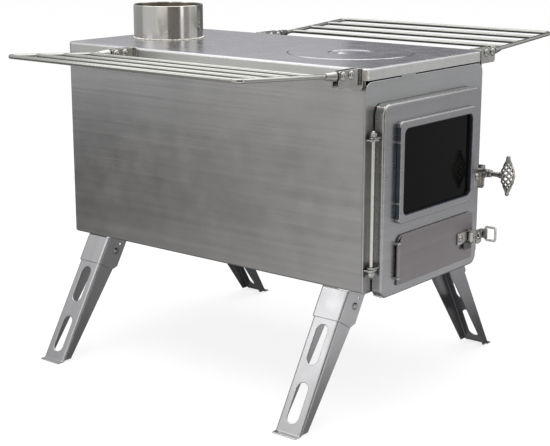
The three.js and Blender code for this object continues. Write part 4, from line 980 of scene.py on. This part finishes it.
# A dark blue ring round the pane behind the frame, and a strip in the open left side: painted shade, where
# the frame's return and the gap lie in shadow.
shade_sleeve_ring = inset(bezel_low, bezel_high, PANE_LIP + 0.8 * MM, 7.2 * MM, 12)
shade_sleeve = slab([pane_ring, shade_sleeve_ring], bezel_low.y + 0.9 * MM, pane_front - 0.1 * MM, "y")
shade_wall_sides = (bezel_low.x + 1.5 * MM, bezel_low.x + 2.3 * MM)
shade_wall_ring = outline(*shade_wall_sides, bezel_low.z + 5 * MM, bezel_high.z - 5 * MM, 0)
shade_wall = slab([shade_wall_ring], bezel_low.y + 1.2 * MM, bezel_high.y, "y")
finished("window_lining", joined(shade_sleeve, shade_wall), painted_shade_steel, "door", round_edge=0.15 * MM)

# %% [markdown]
# ## The door latch
#
# A bracket holds a short barrel at the door's right edge. The shaft turns in it: the cam on its rear end
# swings behind the catch. On its front end sits the grip, a cage of six wires that twist round an upright
# axis and close in a small knob at each end.

# %% Latch bracket
latch_pos = JOINTS["latch_turn"]["pos_m"]
LATCH = (latch_pos[0], latch_pos[2])
low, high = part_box("latch_bracket")
BARREL = 5 * MM
BARREL_BORE = 3.3 * MM
REACH = 8 * MM
barrel_front = low.y - REACH + 2.5 * MM
barrel_profile = [
    (BARREL_BORE, barrel_front),
    (BARREL - SOFT, barrel_front),
    (BARREL, barrel_front + SOFT),
    (BARREL, high.y),
    (BARREL_BORE, high.y),
    (BARREL_BORE, barrel_front),
]
plate_back = DOOR_FACE - GAP
plate_front = plate_back - 2 * MM
plate_ring = outline(low.x, LATCH[0], low.z + 3 * MM, high.z - 4 * MM, (3 * MM, 0, 0, 3 * MM))
cheek_front = plate_front - REACH
cheek_ring = [
    (high.y, high.z - 4 * MM),
    (cheek_front + 4 * MM, high.z),
    (cheek_front + 1 * MM, high.z - 0.6 * MM),
    (cheek_front, high.z - 3 * MM),
    (cheek_front, LATCH[1] - 2 * MM),
    (cheek_front + 3.5 * MM, LATCH[1] - 6 * MM),
    (cheek_front + 3.5 * MM, low.z + 3 * MM),
    (cheek_front + 5 * MM, low.z + 0.6 * MM),
    (cheek_front + 7 * MM, low.z),
    (high.y - 4 * MM, low.z),
    (high.y, low.z + 4 * MM),
]
bracket = joined(
    slab([plate_ring], plate_front, plate_back, "y"),
    slab([cheek_ring], DOOR_RIGHT + GAP, DOOR_RIGHT + GAP + 2 * MM, "x"),
    turned(barrel_profile, "y", LATCH, 48),
)
finished("latch_plate", bracket, fitting_steel, "door", ["latch_bracket"], 0.4 * MM)
head = rivet_heads([(low.x + 5.5 * MM, plate_front, LATCH[1] - 3 * MM)], 4.4 * MM, 3 * MM)
grown_piece("latch_plate_rivet", head, rod_steel, "door")

# %% Latch shaft and cam
low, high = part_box("latch_shaft")
STEM = 3 * MM
FLANGE = 4.6 * MM
CAM_HUB = 5 * MM
cam_front = high.y - 4 * MM
stem_profile = [
    (0, low.y),
    (STEM, low.y),
    (STEM, barrel_front - 3.6 * MM),
    (FLANGE, barrel_front - 3.2 * MM),
    (FLANGE, barrel_front - 0.3 * MM),
    (STEM, barrel_front - 0.3 * MM),
    (STEM, cam_front),
    (CAM_HUB, cam_front),
    (CAM_HUB, high.y),
    (0, high.y),
]
stem = turned(stem_profile, "y", LATCH, 40)
cam_ring = outline(LATCH[0] - 4 * MM, LATCH[0] + 4 * MM, LATCH[1], high.z, (0, 0, 3 * MM, 3 * MM))
cam = slab([cam_ring], cam_front, high.y, "y")
finished("latch_stem", joined(stem, cam), fitting_steel, "door_latch", ["latch_shaft"], 0.35 * MM)

# %% Grip
low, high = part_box("handle_grip")
WIRE = 1.2 * MM
KNOB = 2.6 * MM
grip_radius = (high.x - low.x) / 2
grip_y = low.y + grip_radius
cage_sizes = {
    "wires": 6,
    "turns": 1.0,
    "length": high.z - low.z - 6 * MM,
    "belly": grip_radius - 2 * WIRE,
    "neck": WIRE,
    "swell": 1.3,
    "wire": WIRE,
}
cage = grown(cage_tree, material=grip_steel, **cage_sizes)
cage.transform(Matrix.Translation((LATCH[0], grip_y, LATCH[1])))
knobs = []
for centre in (low.z + KNOB, high.z - KNOB):
    around = [(KNOB * sin(pi * k / 10), centre - KNOB * cos(pi * k / 10)) for k in range(1, 10)]
    profile = [(0, centre - KNOB)] + around + [(0, centre + KNOB)]
    knobs.append(turned(profile, "z", (LATCH[0], grip_y), 24))
boss = peg(4 * MM, high.y - 4.6 * MM, high.y, "y", LATCH, 32)
finished("latch_grip", joined(cage, *knobs, boss), grip_steel, "door_latch", ["handle_grip"], 0, 60)

# %% [markdown]
# ## The air flap
#
# The flap is a flat plate on a pin at its left. A small lever on it swings on an upright pin of its own and
# lets go of the stud on the door. A wire loop hangs on the lever's end.

# %% Flap and its pin
FLAP_FACE = DOOR_FACE - GAP - 2 * MM
ROOM = 3.1 * MM
KNUCKLE_HALF = 18 * MM
NOTCH_END = 21.6 * MM
flap_ring = outline(FLAP_LEFT, flap_high.x, flap_low.z, flap_high.z, (0, 2 * MM, 8 * MM, 8 * MM))
left_side = []
for z0, z1 in ((KNUCKLE_HALF, NOTCH_END), (-NOTCH_END, -KNUCKLE_HALF)):
    notch = ((0, z1), (ROOM, z1), (ROOM, z0), (0, z0))
    left_side += [(FLAP_LEFT + x, flap_mid + z) for x, z in notch]
corner_last = [point for point in flap_ring if point[1] > flap_mid or point[0] > FLAP_LEFT + MM]
flap = slab([[(FLAP_LEFT, flap_low.z)] + corner_last + left_side], FLAP_FACE, FLAP_FACE + 2 * MM, "y")
knuckle_profile = [
    (1.8 * MM, flap_mid - KNUCKLE_HALF),
    (2.8 * MM, flap_mid - KNUCKLE_HALF),
    (2.8 * MM, flap_mid + KNUCKLE_HALF),
    (1.8 * MM, flap_mid + KNUCKLE_HALF),
    (1.8 * MM, flap_mid - KNUCKLE_HALF),
]
knuckle = turned(knuckle_profile, "z", pin[:2], 32)
finished("flap_plate", joined(flap, knuckle), flap_steel, "flap", ["air_flap"])
low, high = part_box("flap_pin")
wire_pin = peg(1.5 * MM, low.z, high.z, "z", pin[:2], 24)
finished("flap_pin_wire", wire_pin, rod_steel, "door", ["flap_pin"], 0.2 * MM)

# %% Flap latch
copied("flap_latch_plate", "flap_latch_base", fitting_steel, "flap", FINE_EDGE)
copied("flap_latch_lever", "flap_lever", fitting_steel, "flap_latch", FINE_EDGE)
low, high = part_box("flap_latch_base")
# A dark block below the latch plate: painted shade, the shadow the plate casts on the flap.
shade_block_ring = outline(low.x + 12 * MM, low.x + 28 * MM, low.z - 6.5 * MM, low.z + 2 * MM, 1 * MM)
shade_block = slab([shade_block_ring], FLAP_FACE - 3.4 * MM, FLAP_FACE - 1.9 * MM, "y")
finished("flap_latch_tab", shade_block, inner_steel, "flap", slot="bright_steel")
dome_at = (low.x + 5 * MM, FLAP_FACE - 1.6 * MM, (low.z + high.z) / 2)
grown_piece("flap_latch_rivet", rivet_heads([dome_at], 4.2 * MM, 3 * MM), rod_steel, "flap")
low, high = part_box("flap_ring")
LOOP_WIRE = 1.6 * MM
x = (low.x + high.x) / 2
y0, y1 = low.y + LOOP_WIRE, high.y - LOOP_WIRE
z0, z1 = low.z + LOOP_WIRE, high.z - LOOP_WIRE
loop = path_mesh([(x, y0, (z0 + z1) / 2), (x, y0, z0), (x, y1, z0), (x, y1, z1), (x, y0, z1)], closed=True)
wire = grown(bar_tree, loop, radius=LOOP_WIRE, bend=2.4 * MM, sides=16, material=loop_steel)
finished("flap_pull_loop", wire, loop_steel, "flap_latch", ["flap_ring"], 0, 60)

# %% [markdown]
# ## The legs
#
# Each leg is a tapered channel with two long slots, folded from pale sheet. It turns on a rivet in a sleeve
# under the body. The frame already has these shapes, so each copy gets eased edges and its own grain, which
# runs down the leg. All the leg rivets are grown as one piece.

# %% Legs and sleeves
CORNERS = [(row, side) for row in ("front", "rear") for side in ("left", "right")]
# Legs and sleeves on the right take the darker copy of the steel, which is painted shade.
for row, side in CORNERS:
    corner = f"{row}_{side}"
    copied(f"sleeve_{corner}", f"leg_bracket_{corner}", leg_steels[side], "stove_body", FINE_EDGE)
    copied(f"folding_leg_{corner}", f"leg_{corner}", leg_steels[side], f"{corner}_leg", 0.7 * MM)

# %% Leg rivets
rivet_nodes = [f"leg_rivet_{row}_{side}" for row, side in CORNERS]
spots = []
for node in rivet_nodes:
    at = middle(node)
    low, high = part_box(node)
    spots += [(at.x, low.y + 2 * MM, at.z), (at.x, high.y - 2 * MM, at.z)]
heads = rivet_heads(spots, 4.2 * MM, 2 * MM, fitting_steel)
rivet_row("leg_rivets", rivet_nodes, heads, 2 * MM, 19 * MM, fitting_steel)
print("leg rivet heads:", len(spots))

# %% [markdown]
# ## The side shelves
#
# Each shelf is a bent rod with three straight rods across it. Its two arms end in cone-shaped ferrules, whose
# tongues turn between the ears of a bracket. A second rivet in each bracket stops the tongue, which holds the
# shelf out.

# %% Shelves
TILT = radians(3.8)
ROD = 2.5 * MM
ROD_STEP = 41 * MM
SHELF_REACH = 161 * MM
TONGUE = 4.6 * MM
CONE = [(0, 9), (5.2, 9), (5.5, 9.4), (3.6, 24.6), (3.3, 25), (0, 25)]
cone_profile = [(radius * MM, height * MM) for radius, height in CONE]
for side, sign in (("left", -1), ("right", 1)):
    hinge = JOINTS[f"shelf_fold_{side}"]["pos_m"]
    shelf = f"shelf_{side}"
    tongues = [f"shelf_tongue_{row}_{side}" for row in ("front", "rear")]
    arms = [middle(tongue).y for tongue in tongues]
    tilted = Matrix.Translation((hinge[0], 0, hinge[2])) @ Matrix.Rotation(-sign * TILT, 4, "Y")
    start = 13.3 * MM * sign
    reach = SHELF_REACH * sign
    step = -ROD_STEP * sign
    corners = [(start, arms[0], 0), (reach, arms[0], 0), (reach, arms[1], 0), (start, arms[1], 0)]
    bent_rod = grown(bar_tree, path_mesh(corners), radius=ROD, bend=9 * MM, sides=20, material=rod_steel)
    bent_rod.transform(tilted)
    finished(f"{shelf}_rim", bent_rod, rod_steel, shelf, [f"shelf_frame_{side}"], 0, 60)

    places = {"start": (reach + step, sum(arms) / 2, 0), "step": (step, 0, 0)}
    between = arms[1] - arms[0] - 2 * ROD - 0.1 * MM
    rods = grown(row_tree, count=3, length=between, radius=ROD, material=rod_steel, **places)
    rods.transform(tilted)
    finished(f"{shelf}_rods", rods, rod_steel, shelf, [f"shelf_rod_{k}_{side}" for k in (1, 2, 3)], 0, 60)

    weld_paths = []
    for k in (1, 2, 3):
        x = reach + k * step
        for y in (arms[0] + ROD * 0.9, arms[1] - ROD * 0.9):
            weld_paths.append([(x - 1.4 * MM, y, -1.2 * MM), (x + 1.4 * MM, y, -1.2 * MM)])
    dabs = grown(weld_tree, path_mesh(*weld_paths), spacing=1.4 * MM, radius=1.5 * MM, material=weld_steel)
    dabs.transform(tilted)
    grown_piece(f"{shelf}_welds", dabs, weld_steel, shelf)

    bend = [(TONGUE * cos(pi * (0.5 + k / 24)), TONGUE * sin(pi * (0.5 + k / 24))) for k in range(13)]
    tail = [(-6.6 * MM, -2.5 * MM), (-18 * MM, -2.5 * MM), (-18 * MM, -5.6 * MM), (-4.6 * MM, -5.6 * MM)]
    tongue = [(x * sign, y) for x, y in [(11 * MM, -TONGUE), (11 * MM, TONGUE)] + bend + tail]
    parts = []
    for arm in arms:
        cone = turned(cone_profile, steps=40)
        cone.transform(Matrix.Translation((0, arm, 0)) @ Matrix.Rotation(sign * pi / 2, 4, "Y"))
        parts += [cone, slab([tongue, circle(0, 0, 2.5 * MM, 24)], arm - 3 * MM, arm + 3 * MM, "y")]
    ferrules = joined(*parts)
    ferrules.transform(tilted)
    finished(f"{shelf}_ferrules", ferrules, fitting_steel, shelf, tongues)

# %% Shelf brackets and their rivets
pivots = [f"shelf_pivot_{row}_{side}" for row, side in CORNERS]
spots = []
for (row, side), pivot in zip(CORNERS, pivots):
    copied(f"bracket_{row}_{side}", f"shelf_bracket_{row}_{side}", fitting_steel, slot="leg_steel")
    at = middle(pivot)
    low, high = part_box(pivot)
    inward = 14.6 * MM * (1 if side == "left" else -1)
    for y in (low.y + 2.4 * MM, high.y - 2.4 * MM):
        spots.append((at.x, y, at.z))
        spots.append((at.x + inward, y - 0.3 * MM * (1 if y > at.y else -1), at.z))
rivet_row("shelf_rivets", pivots, rivet_heads(spots, 5.1 * MM, 2.8 * MM), 2.2 * MM, 5.6 * MM, rod_steel)
print("shelf rivet heads:", len(spots))

# %% [markdown]
# ## The studio
#
# The stove stands on a plain white floor under broad soft lamps. The floor and the world are plain white
# wherever the camera or a mirror-like surface looks at them, and the floor still takes a soft shadow.

# %% Floor
def sees_background(tree):
    """One for the rays that should find a white background: from the camera, a mirror or glass."""
    rays = add(tree, "ShaderNodeLightPath").outputs
    mirror = maths(tree, "MAXIMUM", rays["Is Glossy Ray"], rays["Is Transmission Ray"])
    return maths(tree, "MAXIMUM", rays["Is Camera Ray"], mirror)


def surface_of(name):
    """A material with no shader yet, and the socket that takes one."""
    material, tree = new_material(name)
    tree.nodes.remove(tree.nodes["Principled BSDF"])
    return material, tree, tree.nodes["Material Output"].inputs["Surface"]


floor_mesh = slab([outline(-9, 9, -9, 9, 0)], -0.02, -0.0002)
floor = new_object("floor", floor_mesh)
floor_white, tree, surface = surface_of("Floor white")
matt = add(tree, "ShaderNodeBsdfDiffuse", {"Color": (0.3, 0.3, 0.3, 1)})
part_glow = maths(tree, "MULTIPLY", sees_background(tree), 0.78)
glow = add(tree, "ShaderNodeEmission", {"Color": (1, 1, 1, 1), "Strength": part_glow})
tree.links.new(add(tree, "ShaderNodeAddShader", {0: matt, 1: glow}).outputs[0], surface)
floor_mesh.materials.append(floor_white)

# %% World
world = bpy.data.worlds.new("Studio")
bpy.context.scene.world = world
world.use_nodes = True
tree = world.node_tree
backdrop = tree.nodes["Background"]
backdrop.inputs["Color"].default_value = (1, 1, 1, 1)
tree.links.new(maths(tree, "MULTIPLY_ADD", sees_background(tree), 0.3, 0.7), backdrop.inputs["Strength"])


# %% Lamps
def lamp(name, place, target, size, power):
    light = bpy.data.lights.new(name, "AREA")
    light.shape = "RECTANGLE"
    light.size, light.size_y = size
    light.energy = power
    made = new_object(name, light)
    made.location = place
    made.rotation_euler = (Vector(target) - Vector(place)).to_track_quat("-Z", "Y").to_euler()


lamp("overhead", (-0.2, -0.1, 2.4), (0, 0, 0.2), (2.2, 2.2), 26)
lamp("left front", (-1.9, -1.6, 1.5), (0, 0, 0.2), (1.2, 1.2), 9)
lamp("leg light", (-0.84, 0.5, 0.73), (-0.16, -0.18, 0.08), (0.36, 0.3), 0.6)

# %% [markdown]
# Polished steel shows what stands round it. A studio sets grey cards just out of the picture, and the sheets
# mirror them as slow changes from light to dark. These cards stand in a ring round the stove and lie on the
# floor beside it. Only mirror-like surfaces see them, so they never hide the stove or dim its lamps.


# %% Grey cards
def card(name, corners, near, far, axis):
    """A card shaded from near to far along an axis. A plain number for a tone is a grey."""
    near, far = (tone if isinstance(tone, tuple) else (tone,) * 3 for tone in (near, far))
    made = bmesh.new()
    made.faces.new([made.verts.new(point) for point in corners])
    mesh = to_mesh(made, name)
    material, tree, surface = surface_of(name)
    place = add(tree, "ShaderNodeTexCoord").outputs["Object"]
    split = add(tree, "ShaderNodeSeparateXYZ", {0: place}).outputs[axis]
    ends = [corner["XYZ".index(axis)] for corner in corners]
    tone = colour_mix(tree, ramp(tree, split, min(ends), max(ends)), near, far)
    tree.links.new(add(tree, "ShaderNodeEmission", {"Color": tone}).outputs[0], surface)
    mesh.materials.append(material)
    made_card = new_object(name, mesh)
    for rays in ("camera", "diffuse", "shadow", "transmission"):
        setattr(made_card, "visible_" + rays, False)


# Each standing card: its first and last angle round the stove, its foot and head, its axis and two tones.
RING = 1.1
STANDING = {
    "behind right": (-20, 32, 0, 1.2, "Z", 0.04, (0.42, 0.42, 0.44)),
    "behind": (32, 60, 0, 1.2, "Z", 0.14, (1.0, 1.0, 1.02)),
    "behind left": (60, 124, 0, 1.2, "Z", 0.16, (1.1, 1.1, 1.12)),
    "left": (124, 178, 0, 0.2, "Y", (0.6, 0.58, 0.565), 0.03),
    "left above": (124, 178, 0.2, 0.5, "Y", (0.76, 0.75, 0.74), (0.66, 0.67, 0.69)),
    "left front": (178, 213, 0, 0.9, "Z", (0.9, 0.88, 0.85), (1.1, 1.08, 1.04)),
    "camera side": (213, 262, 0.08, 1.2, "Z", (0.12, 0.1, 0.085), (0.4, 0.38, 0.36)),
    "bright strip": (262, 274, 0, 0.9, "Z", (1.7, 1.7, 1.65), (1.7, 1.7, 1.65)),
    "camera right": (274, 298, 0.08, 0.9, "Z", (0.3, 0.29, 0.28), (0.5, 0.49, 0.48)),
    "right front": (298, 340, 0, 0.5, "Z", (0.5, 0.5, 0.51), (0.7, 0.7, 0.71)),
}
for name, (start, end, foot_z, head_z, axis, near, far) in STANDING.items():
    a, b = ((RING * cos(radians(t)), RING * sin(radians(t))) for t in (start, end))
    card(name, [(*a, foot_z), (*b, foot_z), (*b, head_z), (*a, head_z)], near, far, axis)

# Each lying card: its ends in x and in y, its height, and its front and rear tones.
LYING = {
    "left floor": (-1, -0.2, -0.3, 1, 0, (0.85, 0.83, 0.82), 0.05),
    "front floor": (-0.2, 0.9, -1, -0.3, 0, (0.8, 0.8, 0.82), (0.8, 0.8, 0.82)),
    "floor below": (-0.2, 0.2, -0.3, 0.6, 0, 0.3, 0.04),
    "right floor": (0.2, 1.0, -0.3, 1.0, 0, 0.14, 0.1),
    "high rear": (-1.2, 1.2, 1.1, 2.4, 2.4, 2.6, 2.6),
    "high right": (1.0, 3.2, -1.6, 1.4, 2.4, 2.6, 2.6),
}
for name, (x0, x1, y0, y1, z, near, far) in LYING.items():
    card(name, [(x0, y0, z), (x1, y0, z), (x1, y1, z), (x0, y1, z)], near, far, "Y")
